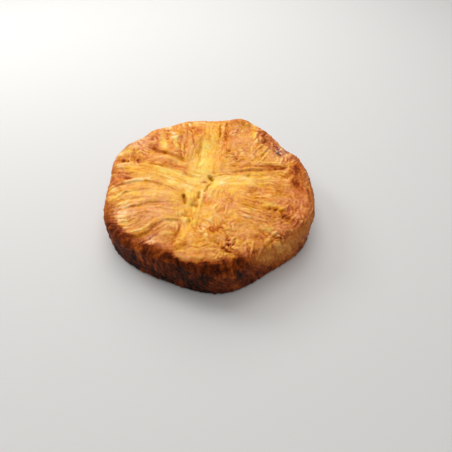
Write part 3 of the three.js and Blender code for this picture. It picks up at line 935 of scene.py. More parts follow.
FINE_BRUSHES = (
    # Left lobe.
    Brush("lobe red cut", (-85, -6.5), (-75.5, -8.5), 1.9, 0.78, 0.5, 0.92, 0.3),
    patch("lobe rim orange", -90, -13.5, 5.5, 0.6, 0.6, 0.9, 0.6),
    patch("lobe rim pale", -87, -27, 6, 0.15, 0.4, 0.75),
    patch("lobe rim cream", -89.5, -22, 3.6, 0.03, 0.3, 0.92),
    Brush("lobe tick light", (-85.5, -21), (-82, -18), 1.4, 0.08, 0.4),
    Brush("lobe tick dark", (-84, -19), (-81.5, -22), 1, 0.52, 0.6, 0.7),
    Brush("lobe tick light 2", (-81, -20), (-78, -17), 1.3, 0.12, 0.3),
    Brush("lobe furrow", (-92, -26.5), (-66, -23.5), 1.4, 0.5, 0.9, bow=1.2),
    Brush("lobe furrow shade", (-76, -25), (-62, -22), 2.4, 0.42, 0.8, 0.6),
    Brush("lobe gold ridge", (-91, -29.5), (-64, -27), 2.2, 0.15, 0.75, 0.85, bow=1.6),
    Brush("lobe gold ridge right", (-65, -27), (-45, -27), 3.2, 0.25, 0.8, 0.6),
    Brush("lobe line high", (-84, -33.5), (-46, -32.5), 1.2, 0.42, 0.6, 0.6),
    Brush("lobe pale band", (-82, -35.8), (-58, -35), 1.8, 0.16, 0.6, 0.7),
    patch("lobe orange spot", -85.5, -39.5, 5.2, 0.6, 1, 0.95),
    Brush("lobe line", (-72, -41.8), (-38, -39), 1.2, 0.5, 0.5),
    Brush("lobe line crest", (-70, -40), (-38, -37), 1, 0.18, 0.4, 0.7),
    Brush("lobe line low", (-68, -46), (-42, -44.5), 1.3, 0.44, 0.3, 0.6),
    patch("lobe plain", -54, -50, 10, 0.39, 0.45, 0.6),
    patch("lobe pink", -38, -44, 9, 0.42, 0.1, 0.6),
    # Painted highlights: pale strokes for the sheen on the glazed lobe, over its real gloss.
    Brush("lobe sheen 1", (-80, -37.6), (-73, -38.6), 1.1, 0.1, 0.3),
    Brush("lobe sheen 2", (-76, -42.6), (-70, -41), 1, 0.06, 0.1, 0.85),
    Brush("lobe sheen 3", (-78, -46.4), (-72, -46.9), 1.2, 0.06, 0.1, 0.85),
    Brush("lobe sheen 4", (-78, -50.4), (-72, -50.2), 1, 0.1, 0.2),
    Brush("lobe sheen 5", (-77, -54.2), (-70.5, -54.4), 1.2, 0.08, 0.1, 0.85),
    Brush("lobe sheen 6", (-76.5, -58.6), (-69, -57.5), 1.3, 0.08, 0.4, 0.85),
    Brush("lobe sheen 7", (-72, -63.5), (-68, -61.5), 1, 0.1, 0.3, 0.75),
    # The fold: painted light along its crest, then its orange face below with painted shade
    # where it turns from the light.
    Brush("fold crest painted light left", (-70, -67.5), (-57, -66), 1.1, 0.1, 0.3, 0.9),
    Brush("fold crest painted light middle", (-57, -66), (-41, -56), 1.1, 0.18, 0.5, 0.85),
    Brush("fold crest painted light right", (-41, -55.5), (-22, -52.5), 1, 0.2, 0.4, bow=-0.6),
    Brush("fold face painted shade", (-62, -73), (-42, -67), 3.2, 0.5, 1, 0.88, bow=1),
    patch("fold foot", -66, -72, 2.6, 0.78, 0.5, 0.9),
    Brush("left rim brown", (-92, -42), (-86, -53), 5, 0.6, 1, 0.9),
    Brush("rim edge", (-91, -54), (-86, -61), 3.2, 0.78, 0.5, 0.9),
    Brush("rim tan", (-86, -57), (-79, -52), 2.4, 0.42, 0.2),
    Brush("rim dark", (-84, -63), (-66, -75), 5, 0.8, 0.4, 0.95, 0.2),
    Brush("rim amber", (-62, -73), (-50, -81), 4.5, 0.68, 0.7, 0.85),
    Brush("rim streak", (-46, -75), (-48, -83), 1.3, 0.82, 0.5, 0.85),
    # Front left lobe.
    Brush("arc crest", (-23, -55), (-20.5, -66), 1.3, 0.24, 0.6, 0.85, bow=1),
    Brush("arc cut", (-26, -57), (-23.5, -64), 1, 0.42, 0.5, 0.5),
    # Painted light: a pale stroke that lightens the shaded side of the fold here.
    Brush("arc painted light", (-40, -60), (-21, -55.5), 2.3, 0.22, 0.5, 0.95),
    Brush("arc groove", (-22.5, -60), (-28, -80), 1.1, 0.5, 1, bow=1.2),
    patch("front left tan", -39, -62, 6, 0.47, 0.3, 0.65),
    patch("front left light", -32, -64, 5, 0.35, 0.1, 0.65),
    Brush("front left ridge", (-41, -73.5), (-31, -69), 1.5, 0.22, 0, 0.6),
    # Painted highlight: a white patch and a pale spot for the sheen on the glaze.
    patch("front left sheen", -44.5, -79.5, 3.8, 0, 0, 0.97),
    patch("front left sheen high", -43, -76.5, 2, 0.2, 0, 0.6),
    Brush("front left cut", (-46, -73.5), (-40, -71), 1.1, 0.7, 0.5),
    Brush("front left foot", (-38, -81), (-27, -84), 3, 0.55, 0.2),
    patch("front left red", -40, -86, 3.6, 0.8, 0.2, 0.9, 0.4),
    patch("front left dark", -30, -89, 3, 0.74, 0.4, 0.85),
    # Front arm and front edge.
    Brush("arm foot light", (-14, -60), (-22, -79), 2, 0.24, 0.9, 0.7),
    Brush("arm dash 1", (-20, -46), (-17.5, -50.5), 1.4, 0.62, 1, 0.92, -0.8),
    Brush("arm dash 2", (-17, -50.5), (-15, -55), 1.4, 0.6, 1, 0.92, -0.8),
    Brush("arm dash 3", (-22, -56.5), (-18, -60.5), 1.1, 0.56, 0.9, 0.75),
    Brush("arm olive", (-22, -84), (-18, -80), 2, 0.55, 1),
    Brush("arm olive high", (-17, -80), (-16, -74), 1.6, 0.51, 1, 0.7),
    Brush("edge cut", (-27, -87), (-17, -87), 1.2, 0.62, 0.5, 0.75),
    Brush("edge crest", (-24, -86), (-2, -82), 1, 0.22, 0.7, 0.75),
    Brush("front edge pink", (-21, -88.5), (-8, -88.8), 3, 0.33, 0.1, 0.75, 0.1),
    Brush("edge line 1", (-16, -84.2), (4, -80), 1, 0.48, 0.8, 0.7),
    Brush("edge crest 2", (-12, -86.2), (9, -83), 1, 0.25, 0.7, 0.7),
    Brush("edge line 2", (-14, -88.4), (10, -85.4), 1, 0.47, 0.8, 0.7),
    Brush("front streak", (-3.5, -63), (0.5, -71), 1.1, 0.16, 0.2, 0.85),
    Brush("front streak 2", (-1, -60), (1.5, -65), 1, 0.22, 0.2, 0.7),
    patch("front red spot", 6.5, -64, 4.2, 0.55, 0.8, 0.95, 1),
    Brush("front red tick", (10, -61.5), (13, -58.5), 1.2, 0.58, 0.7, 0.85, 0.5),
    Brush("front red tick 2", (3, -66), (6, -68), 1.1, 0.62, 0.6, 0.85, 0.6),
    Brush("front tan", (-8, -66), (-8, -78), 4, 0.42, 0.4, 0.6, 0.2),
    # Middle.
    Brush("flap pale side", (1, -20), (5, -46), 2.5, 0.12, 0.4, 0.75),
    Brush("flap pale side low", (4, -49), (2, -58), 2.2, 0.22, 0.4, 0.6),
    Brush("flap tan side", (10, -30), (9.5, -52), 3.5, 0.38, 0.5, 0.7),
    Brush("long slot", (-23.2, -25), (-20.6, -36), 1.3, 0.68, 1, 0.97, -1.5),
    Brush("slot light", (-19, -20), (-18, -35), 2.5, 0.08, 0.8, 0.85),
    Brush("short slot", (-10, -19), (-9.5, -28), 1.2, 0.52, 1, 0.9, -1.3),
    Brush("pale strip", (-6.5, -16), (-7, -29), 1.5, 0.04, 0.6, 0.88),
    Brush("flap crack", (-1, -7), (-4.5, -17), 1, 0.56, 0.8, 0.9, -0.8),
    patch("flap hollow", -2, -25, 4.4, 0.46, 0.5, 0.85),
    patch("flap grey", 1, -30, 6, 0.42, 0.15),
    patch("flap hollow low", -1.5, -33, 3.4, 0.52, 0.8, 0.88),
    Brush("slot foot", (-14, -37.5), (-10, -38.3), 1.5, 0.6, 1, 0.95, -1.3),
    Brush("slot foot tail", (-10, -37.5), (-4, -37), 1.1, 0.54, 1, 0.85, -0.8),
    patch("gold field", -14, -43, 12, 0.29, 1),
    Brush("cross hole", (-1, 2), (1.5, -1.5), 1.6, 0.62, 1, 0.95, -1.3),
    Brush("cross dash", (-9, -5.5), (-4.5, -5), 1.1, 0.6, 1, 0.9, -0.6),
    patch("amber spot", -16, -13, 4.5, 0.28, 1, 0.6),
    patch("olive spot", -19, 1, 2.2, 0.44, 1, 0.65),
    # Left arm.
    Brush("arm light high", (-50, 7.5), (-14, -5), 4, 0.07, 0.9, 0.88),
    Brush("arm light middle", (-46, -3), (-22, -7.5), 1.8, 0.09, 0.7),
    Brush("arm light low", (-38, -9), (-16, -14), 3.6, 0.04, 0.7, 0.88),
    Brush("arm line high", (-42, 0.5), (-22, -7), 0.9, 0.36, 1, 0.7),
    Brush("arm line low", (-48, -4.5), (-12, -11), 1, 0.38, 1, 0.75),
    Brush("arm edge", (-61, 13.5), (-49, 11), 1.3, 0.58, 1, 0.88),
    patch("arm gold", -81, 5, 5, 0.34, 1, 0.75),
    patch("arm gold right", -66, 3, 5, 0.33, 1, 0.7),
    patch("arm gold light", -77, 6, 2.2, 0.14, 0.8, 0.7),
    Brush("arm rim pale", (-90, 8), (-78, 13), 2.4, 0.18, 0.2, 0.75),
    Brush("arm rim line", (-92, -1.5), (-77, -2), 1.2, 0.52, 0.3, 0.75, 0.4),
    Brush("arm rim cream", (-88, 1.5), (-78, 0), 1, 0.16, 0.3, 0.6),
    patch("arm rim orange", -85, -5, 4.2, 0.46, 0.3, 0.8, 0.5),
    patch("arm shade", -71, -0.5, 4.5, 0.44, 0.9, 0.75, 0.2),
    Brush("left edge", (-95, 8), (-94, -10), 2.6, 0.56, 0.2, 0.75, 0.3),
    Brush("arch pale", (-78, -12), (-58, -9.5), 2, 0.1, 0.2, 0.85),
    Brush("arch cut", (-60, -12.5), (-46, -14), 1, 0.46, 1, 0.85),
    # Tongue, valley and left rim notch.
    patch("tongue", -50, 23, 7, 0.36, 0.1, 0.75, 0.25),
    Brush("tongue right", (-44, 24), (-26, 17), 3.5, 0.27, 0.5, 0.7, 0.1),
    Brush("under tongue", (-45, 14), (-27, 9), 3.4, 0.43, 0.6, 0.9, 0.8),
    Brush("under tongue line", (-45, 14.5), (-36, 12.3), 1.1, 0.55, 0.6, 0.8, 0.3),
    Brush("under tongue line 2", (-34, 13), (-28, 12.5), 1.1, 0.53, 0.7, 0.7, 0.3),
    patch("orange over valley", -40, 33, 7, 0.41, 0.5, 0.85, 0.55),
    patch("orange over valley right", -28, 33, 6, 0.38, 0.5, 0.8, 0.4),
    # The back left valley: its own brown, plus painted shadow cast by the flap above it.
    Brush("valley left", (-63, 40), (-57, 32), 2.4, 0.5, 0.7, 0.88, 0.4),
    Brush("valley", (-58, 31.5), (-47, 29.3), 1.9, 0.58, 1, 0.92),
    Brush("valley middle", (-46, 29), (-40, 25.5), 1.2, 0.5, 0.8),
    Brush("valley right", (-40, 25.5), (-27, 20), 1.2, 0.56, 1, 0.85),
    patch("notch amber", -68, 23, 5.5, 0.48, 0.3, 0.75, 0.45),
    patch("notch orange", -91.5, 23.5, 5.4, 0.63, 1, 0.95, 0.3),
    Brush("notch olive", (-88, 16), (-81, 17), 2, 0.66, 1, 0.92),
    Brush("notch line", (-84, 23), (-70, 20.5), 1.9, 0.62, 0.7, 0.9, 0.2),
    patch("notch dot", -74, 17.5, 1.7, 0.86, 0.7, 0.95),
    Brush("notch stripe dark", (-80, 19), (-77, 12.5), 0.8, 0.62, 0.6, 0.85),
    Brush("notch stripe light", (-82, 19), (-79, 12.5), 0.7, 0.18, 0.5, 0.75),
    Brush("notch stripe dark 2", (-77.5, 19.5), (-74.5, 13), 0.8, 0.6, 0.6, 0.85),
    Brush("notch stripe light 2", (-75.8, 16), (-73, 12), 0.8, 0.16, 0.5),
    Brush("notch tail", (-72, 19), (-58, 16), 1.6, 0.57, 0.6, 0.85, 0.3),
    patch("knuckle", -86, 30, 7.5, 0.21, 1, 0.94),
    patch("knuckle light", -93, 27.5, 2.6, 0.02, 0.4, 0.92),
    Brush("knuckle top", (-88, 37.5), (-82, 37.5), 1.3, 0.18, 0.8),
    patch("knuckle back", -91, 38, 2.6, 0.56, 0.2, 0.8, 0.3),
    Brush("knuckle shade", (-82, 36), (-79, 28), 1.6, 0.52, 0.7, 0.8, 0.3),
    # Painted reflection: the rim's brown greyed toward lavender for the sky seen in its glaze.
    Brush("back left rim painted reflection", (-90, 37), (-70, 53), 5.5, 0.43, 0, 0.85, -0.9),
    Brush("pink rim", (-80, 41), (-72, 50), 5, 0.3, 0, 0.88, 0.3),
    Brush("pink rim tick", (-79, 45), (-76, 38), 1, 0.54, 0, 0.75, 0.4),
    Brush("pink rim tick 2", (-76, 50), (-72.5, 43), 1, 0.48, 0, 0.75, 0.4),
    Brush("pink rim pale", (-84, 46), (-75, 56), 1.3, 0.06, 0),
    Brush("pink rim pale 2", (-78.5, 41), (-74, 34), 1, 0.14, 0, 0.75),
    Brush("pink rim low", (-77, 36), (-72, 33), 2.8, 0.5, 0, 0.8, 0.35),
    # Back left quarter.
    patch("red glow", -63.5, 50, 5, 0.46, 0.3, 0.9, 0.9),
    Brush("red cut", (-65, 52), (-62.5, 47), 1.3, 0.66, 0.5, 0.88, 0.7),
    Brush("corner pink", (-66, 60), (-57, 62), 3, 0.34, 0.1, 0.7, 0.35),
    Brush("corner stroke", (-60, 49), (-57, 38), 1.8, 0.5, 0.5, 0.85, 0.5),
    Brush("orange stroke", (-50, 62), (-47.5, 50), 2.6, 0.44, 0.5, 0.9, 0.6),
    Brush("cream high", (-43, 59), (-41.5, 52), 2, 0.08, 0, 0.85),
    Brush("cream", (-40, 49), (-38.5, 40), 2.2, 0.1, 0.7, 0.9),
    Brush("cream left", (-52, 45), (-49, 37), 2.8, 0.14, 0.8, 0.88),
    patch("grey dot", -46, 41.5, 2.4, 0.46, 1),
    Brush("olive streak", (-39, 63), (-31, 58), 2.2, 0.52, 1, 0.9),
    patch("rim gold", -43, 72, 3.5, 0.3, 1),
    patch("orange glow", -20, 66, 9, 0.47, 0.45, 0.95, 1),
    Brush("orange glow spot", (-26, 69), (-14, 68), 2.4, 0.5, 0.4, 0.85, 0.9),
    Brush("pink stroke", (-31, 58), (-33, 44), 2.4, 0.45, 0, 0.85, 0.2),
    Brush("pink stroke cut", (-33.5, 57), (-34.5, 48), 0.9, 0.54, 0.2, 0.75),
    Brush("brown stroke", (-24, 58), (-22, 44), 2.5, 0.47, 0.4, 0.85, 0.3),
    patch("brown patch", -15, 46, 3.8, 0.46, 0.6, 0.75, 0.1),
    patch("olive dot", -12, 42, 2.4, 0.62, 1, 0.92),
    patch("brown dot", -36, 39.5, 1.8, 0.56, 0.8, 0.85),
    Brush("brown dash", (-30, 43), (-29, 37), 1.2, 0.5, 0.8, 0.75),
    # Pale ticks, a fleck and lines along the back edge: painted light where the edge catches the
    # light.
    Brush("corner rim painted light", (-53, 68), (-49, 74), 1.3, 0.02, 0.1, 0.92),
    Brush("rim tick 1", (-35, 78), (-33.5, 72), 1.2, 0.1, 0.1, 0.75),
    Brush("rim fleck", (-51, 64.5), (-47, 70.5), 1.3, 0, 0.1, 0.9),
    Brush("rim tick 2", (-28, 81), (-27, 74), 1.2, 0.1, 0.2),
    Brush("back rim painted light", (-20, 86), (-8, 86.5), 1.8, 0.05, 0.2),
    Brush("back rim painted light 2", (-6, 84), (4, 84), 1.4, 0.16, 0.4, 0.6),
    # Back arm and the fold beside it.
    Brush("back arm glow", (-9, 10), (-8, 44), 5, 0.1, 1, 0.88),
    Brush("back arm line", (-5, 34), (-3, 12), 1, 0.32, 1, 0.6),
    Brush("back arm line 2", (-12, 30), (-13, 12), 1, 0.32, 1, 0.6),
    Brush("back arm line 3", (-10, 68), (-10, 54), 1, 0.42, 0.7, 0.7),
    Brush("back arm side", (2, 12), (3, 5), 1.2, 0.48, 0.9, 0.75),
    Brush("back flap side", (13, 50), (10, 20), 2.2, 0.4, 0.3, 0.6),
    Brush("back cut", (12.6, 84), (11.4, 56), 1.3, 0.66, 0.9, 0.92),
    Brush("back cut side", (15, 77), (14.2, 63), 1.6, 0.56, 0.8, 0.85),
    Brush("back cut 2", (5.8, 82), (6.2, 60), 1.2, 0.65, 0.9, 0.88),
    Brush("back cut light", (10, 85), (9.5, 70), 1.1, 0.22, 0.4),
    patch("back cut pale", 8, 77, 1.4, 0.08, 0.2),
    # Back right quarter.
    Brush("bulge", (23, 82), (37, 81), 6, 0.53, 0.6, 0.85, 0.15),
    Brush("bulge top", (21, 91), (35, 91), 2.2, 0.26, 0.3, 0.65),
    Brush("bulge side light", (39, 84), (45, 77), 1.3, 0.22, 0.3, 0.75),
    patch("back tan", 22, 66, 6, 0.46, 0, 0.65),
    patch("back smooth", 31, 49, 10, 0.38, 0, 0.6),
    Brush("back gold", (44, 73), (42, 57), 2.6, 0.27, 0.8, 0.75),
    patch("dot high", 16, 35.5, 2.6, 0.7, 1, 0.95),
    Brush("dash 1", (22, 24.5), (32, 22), 1.5, 0.54, 1, 0.88),
    Brush("dash 2", (40, 22), (47, 22), 1.4, 0.5, 0.9),
    Brush("dash 3", (20.5, 15), (23, 14), 1.4, 0.53, 1, 0.85),
    Brush("dash 4", (34.5, 15.5), (37, 15.2), 1.4, 0.56, 1, 0.88),
    Brush("diagonal light", (48.5, 25), (57, 39), 1.2, 0.18, 0.4, 0.75),
    Brush("diagonal dark", (46.5, 25), (51, 32), 1.1, 0.56, 0.9, 0.7),
    Brush("diagonal light 2", (45, 30), (48, 38), 1, 0.22, 0.2, 0.6),
    Brush("diagonal light 3", (57, 30), (61, 40), 0.9, 0.26, 0.4, 0.4),
    Brush("diagonal dark 2", (40, 43), (47, 50), 1.3, 0.44, 0.5, 0.5),
    Brush("comb 1", (38, 41), (38, 33), 0.8, 0.48, 0.6, 0.7),
    Brush("comb 2", (41, 41), (41, 33), 0.8, 0.48, 0.6, 0.7),
    Brush("comb light", (39.5, 41), (39.5, 33), 0.7, 0.24, 0.4, 0.7),
    Brush("light drop", (29.3, 35), (29.5, 30), 1.2, 0.12, 0.2),
    Brush("rim cut", (52.5, 49), (56, 58), 1.1, 0.74, 0.8, 0.9),
    Brush("rim cut side", (49, 52), (46, 44), 1.2, 0.48, 0.7, 0.7),
    Brush("rim red", (48, 69), (52, 62), 2.8, 0.54, 0.2, 0.92, 0.7),
    patch("rim rose", 48, 75, 3, 0.5, 0.2, 0.8, 0.5),
    Brush("rim purple", (58, 66), (63, 54), 3.4, 0.54, 0, 0.85, 0.2),
    patch("rim hollow", 62.5, 47.5, 3.2, 0.76, 0.3, 0.92, 0.4),
    Brush("rim shade", (56, 56), (60, 50), 1.5, 0.6, 0.3, 0.8, 0.3),
    Brush("rim purple low", (67, 50), (74, 42), 3, 0.62, 0, 0.85, 0.1),
    patch("rim hollow low", 66.5, 41, 2.6, 0.8, 0.1, 0.9, 0.1),
    # The rim's brown, greyed by a painted reflection of the sky in its glaze.
    patch("back right rim painted reflection", 76, 38, 8.5, 0.63, 0, 0.95, -0.7),
    patch("rim brown high", 79, 30, 6, 0.56, 0.1, 0.8, 0.3),
    Brush("rim light 1", (67.5, 19), (71.5, 29), 0.9, 0.12, 0.1, 0.85),
    Brush("rim light 2", (71, 21), (76, 32), 0.9, 0.18, 0),
    Brush("rim light 3", (65, 23), (66.5, 30), 0.9, 0.2, 0.1, 0.75),
    Brush("rim line 1", (69.5, 20), (74, 31), 0.9, 0.54, 0.1, 0.8, 0.2),
    Brush("rim brown", (76, 29.5), (86, 26.5), 2.3, 0.6, 0.1, 0.88),
    Brush("rim slot", (68.3, 40.5), (68.5, 35.5), 2, 1, 0.3, 1),
    # Painted glints: white marks for light caught on the glazed rim.
    Brush("rim glint 1", (65.5, 44), (66.3, 42), 0.8, 0, 0, 0.9),
    Brush("rim glint 2", (70.4, 40), (70.8, 37), 0.7, 0.1, 0, 0.7),
    Brush("rim glint 3", (70.5, 44.5), (72.5, 46), 0.7, 0.08, 0),
    # Right arm and its flap.
    Brush("arm bright", (7, -6), (4, -11), 3.6, 0.02, 0.9, 0.85),
    Brush("arm light", (5, -3), (36, -4), 4.2, 0.08, 0.85, 0.85),
    Brush("arm light line", (8, -0.8), (30, -1.5), 1, 0.02, 0.6, 0.7),
    Brush("arm dark line", (14, -5.6), (34, -5), 0.9, 0.3, 0.8, 0.6),
    Brush("arm light line 2", (12, -8.5), (40, -9), 1, 0.08, 0.6, 0.7),
    Brush("arm top olive", (8, 4.5), (26, 3.6), 1.3, 0.44, 1, 0.75),
    Brush("arm gold band", (30, 4.4), (57, 5), 1.8, 0.43, 1, 0.85),
    patch("arm olive dot", 36, 1.8, 2.5, 0.6, 1, 0.97, -1),
    patch("arm gold field", 44, -3, 8, 0.27, 0.8, 0.7),
    Brush("arm end", (58, -2), (72, -4), 6, 0.41, 0.5, 0.75, 0.1),
    Brush("arm end olive", (52, -14), (56, -16), 1.3, 0.53, 1),
    patch("arm end brown", 64, -19, 3.6, 0.55, 0.9, 0.85),
    Brush("flap line low", (28, 7.5), (57, 9.5), 1.2, 0.52, 0.8),
    Brush("flap orange", (32, 11), (60, 13), 2.2, 0.43, 0.6, 0.8, 0.45),
    Brush("flap line", (44, 13.5), (73, 16.5), 1.4, 0.57, 0.8, 0.88, 0.1),
    # Painted light: a pale stroke that lightens the shaded side of the flap's edge.
    Brush("flap painted light", (42, 18.5), (64, 20), 2.2, 0.25, 0.5),
    Brush("flap cut 1", (62, 12.5), (66, 12.8), 1.3, 0.64, 0.9, 0.9),
    Brush("flap cut 2", (68.5, 13.5), (74, 15.7), 1.6, 0.74, 0.8, 0.92),
    patch("flap spot 1", 49, 10, 1.4, 0.63, 0.8, 0.88),
    patch("flap spot 2", 55.5, 7, 1.4, 0.6, 0.8, 0.85),
    Brush("flap tan", (10, 9), (30, 11), 3.5, 0.36, 0.3, 0.6, 0.15),
    # Right rim.
    patch("rim orange", 84, 3, 6, 0.5, 0.3, 0.8, 0.5),
    Brush("rim ridge", (72.5, 7), (80.5, 21.5), 2.2, 0.22, 0.2, 0.9, 0.2),
    Brush("rim ridge shade", (73, 3), (77.5, 10), 2.2, 0.63, 0.9, 0.9),
    patch("rim end olive", 70.5, -1, 2.4, 0.4, 1, 0.7),
    Brush("rim blotch", (83, 16.5), (83.5, 7.5), 4.4, 0.74, 0.9, 0.97, 0.9),
    Brush("rim ridge foot", (73.5, -4), (77, -0.5), 2, 0.15, 0.3, 0.92),
    Brush("rim rose low", (79, -16.5), (88, -18.5), 4.6, 0.53, 0, 0.88, 0.35),
    Brush("rim blotch low", (80, -4.5), (83.5, -12.5), 4.4, 0.76, 0.9, 0.97, 0.9),
    Brush("edge line", (92.5, -12), (92, -27), 1.2, 0.8, 0.4, 0.88),
    # Front right quarter.
    patch("quarter gold", 18, -16, 9, 0.37, 0.8, 0.7),
    Brush("quarter tan", (44, -17), (55, -20), 3, 0.49, 0.5),
    Brush("quarter line 1", (37, -21), (46, -24), 1.3, 0.56, 0.7),
    Brush("quarter line 2", (42, -28), (51, -29), 1.4, 0.62, 0.9, 0.88),
    Brush("quarter light 1", (35, -23.5), (46, -20), 1.1, 0.2, 0.4, 0.75),
    Brush("quarter light 2", (43, -25.7), (55, -24.5), 1.1, 0.22, 0.4, 0.75),
    Brush("quarter line 3", (58, -22), (70, -21), 1.2, 0.54, 0.8, 0.75),
    patch("quarter pink", 19, -36, 8, 0.45, 0.1, 0.75),
    Brush("quarter squiggle", (17.5, -28), (22, -31), 1.2, 0.58, 0.2, 0.85),
    Brush("quarter squiggle 2", (22, -26), (20, -33), 1, 0.52, 0.2, 0.75),
    patch("quarter olive", 34, -36, 3.6, 0.46, 1),
    Brush("quarter olive line", (31, -33), (37, -39), 1.2, 0.52, 1, 0.75),
    Brush("quarter light 3", (30, -40.5), (42, -42), 1.2, 0.24, 0.4, 0.6),
    Brush("quarter line 4", (38, -36.5), (45, -40), 1.2, 0.54, 0.9),
    Brush("quarter light 4", (24, -47), (36, -51), 1.2, 0.24, 0.2, 0.7),
    Brush("quarter light 5", (44, -51), (56, -55), 1.2, 0.34, 0.5, 0.35),
    Brush("cut ridge", (47, -38), (66, -39), 1.5, 0.2, 0.8, 0.85, bow=2.2),
    Brush("cut", (48, -39.5), (61, -40), 2.5, 0.52, 1, 0.9, 0.2),
    Brush("cut tick", (66, -49.5), (69, -52.5), 1, 0.78, 0.8, 0.88),
    Brush("cut tick 2", (60, -43), (64, -44.5), 1.1, 0.64, 0.8, 0.85),
    patch("rim tan high", 82, -30, 13, 0.47, 0, 0.8, 0.25),
    patch("rim rose middle", 75, -43, 6, 0.53, 0, 0.85, 0.3),
    patch("quarter rose", 59, -57, 5, 0.46, 0.1, 0.7, 0.15),
    patch("quarter light low", 54, -67, 5, 0.35, 0.5, 0.75),
    # Painted glints: white dots for light caught on the rim.
    patch("front rim painted glint 3", 80.5, -51, 0.8, 0.08, 0),
    patch("front rim painted glint 2", 72, -60.5, 0.9, 0, 0, 0.85),
    patch("front rim painted glint 1", 73, -43.5, 0.9, 0, 0, 0.85),
    Brush("rim stroke dark 2", (79, -31), (75, -39), 1.2, 0.58, 0.2, 0.8, 0.2),
    Brush("rim stroke dark", (74, -35), (70, -42), 1.3, 0.6, 0.3, 0.85, 0.2),
    Brush("rim stroke dark 3", (77.5, -38), (72, -47), 1.6, 0.62, 0.3, 0.85, 0.2),
    Brush("rim stroke light 2", (79, -46), (75, -50), 0.9, 0.3, 0.1, 0.5),
    Brush("rim stroke light", (73, -49), (67, -55), 1, 0.32, 0.2, 0.5),
    Brush("cut brown", (62, -44), (70, -51), 3.2, 0.62, 0.9, 0.9, 0.2),
    Brush("cut brown core", (68, -47.5), (70.5, -51), 2.2, 0.76, 0.9, 0.9, 0.2),
    patch("rim pink", 65, -60, 6, 0.5, 0, 0.8, 0.3),
    patch("rim olive", 57, -77, 7, 0.5, 0.7, 0.7),
    Brush("rim low dark", (62, -86), (72, -80), 3, 0.74, 0.3, 0.85, 0.2),
    Brush("crack", (44, -62.3), (51, -67.3), 1.1, 0.62, 0.9, 0.9),
    # Painted light: a pale stroke that lightens the shaded side of the crack.
    Brush("crack painted light", (45.5, -60.5), (54, -64), 1.3, 0.18, 0.6),
    Brush("crack 2", (54, -66.5), (60, -70), 1.2, 0.62, 0.7, 0.85),
    Brush("smear", (42, -70), (48, -70.5), 1.8, 0.6, 0.4, 0.88, 0.3),
    # Front edge crumbs.
    patch("front olive", 14.5, -57, 2.4, 0.54, 0.9, 0.85),
    Brush("tick 1", (12, -63), (14.5, -66), 1.1, 0.66, 0.5, 0.88),
    Brush("tick 2", (20, -58), (21, -64), 1, 0.58, 0.3, 0.85, 0.2),
    Brush("tick 2 light", (21.6, -59), (22.4, -64), 0.8, 0.12, 0.1, 0.75),
    Brush("tick 3", (17.5, -72.5), (19, -76.5), 1.2, 0.7, 0.5, 0.88),
    Brush("tick 4", (14.5, -82.5), (20, -86), 1.3, 0.82, 0.5, 0.95, 0.2),
    Brush("tick 5", (21, -85.5), (26, -87), 1.1, 0.74, 0.5, 0.9),
    Brush("tick 6", (18.5, -79), (22.5, -78.2), 1.1, 0.8, 0.5, 0.92, 0.2),
    Brush("tick 7", (20.5, -81.5), (25, -84.5), 1, 0.76, 0.5, 0.9),
    patch("tick 8", 11, -77, 1.6, 0.6, 0.7, 0.85),
    # Painted glints: white specks for light caught among the crumbs.
    patch("crumb painted glint 1", 18, -81.8, 0.9, 0.1, 0, 0.6),
    patch("crumb painted glint 2", 22, -80.2, 0.9, 0.1, 0, 0.6),
    patch("crumb painted glint 3", 20, -76.4, 0.8, 0.05, 0),
    patch("front smooth", 30, -66, 8, 0.34, 0.4, 0.75),
    patch("front smooth olive", 26, -54, 4, 0.42, 1, 0.65),
    Brush("front olive foot", (28, -86), (31, -92), 2.2, 0.62, 0.8, 0.85),
    Brush("grey streak 1", (32.3, -77), (33, -83), 0.8, 0.16, 0.1, 0.65),
    Brush("grey streak dark", (34.7, -78), (35, -87), 1, 0.58, 0.4, 0.85),
    Brush("grey streak 2", (36.8, -77), (37.2, -83), 0.8, 0.18, 0.1, 0.6),
    patch("front brown", 42, -87, 8, 0.55, 0.3, 0.75, 0.2),
    Brush("front brown streak", (40, -83), (40.5, -93), 1.2, 0.7, 0.3, 0.85, 0.2),
    Brush("front brown streak 2", (46.5, -83), (46.5, -93), 1.1, 0.68, 0.3, 0.8, 0.2),
    Brush("front brown light", (43, -82), (43.4, -90), 1, 0.4, 0.2, 0.7),
    Brush("front dark edge", (16, -94), (36, -92), 2.4, 0.8, 0.5, 0.85),
)


@dataclass(frozen=True)
class WallZone:
    """How the side of the cake is baked at an angle round it.

    Args:
        name: Which side it is.
        angle: Degrees round the tin's axis.
        border: Down the side from the flat crust's edge to where its colour starts, in mm.
        fade: How far the crust's colour takes to turn into the wall's, in mm.
        upper: How far the wall is baked under the shoulder.
        lower: How far it is baked near the foot.
    """

    name: str
    angle: float
    border: float
    fade: float
    upper: float
    lower: float


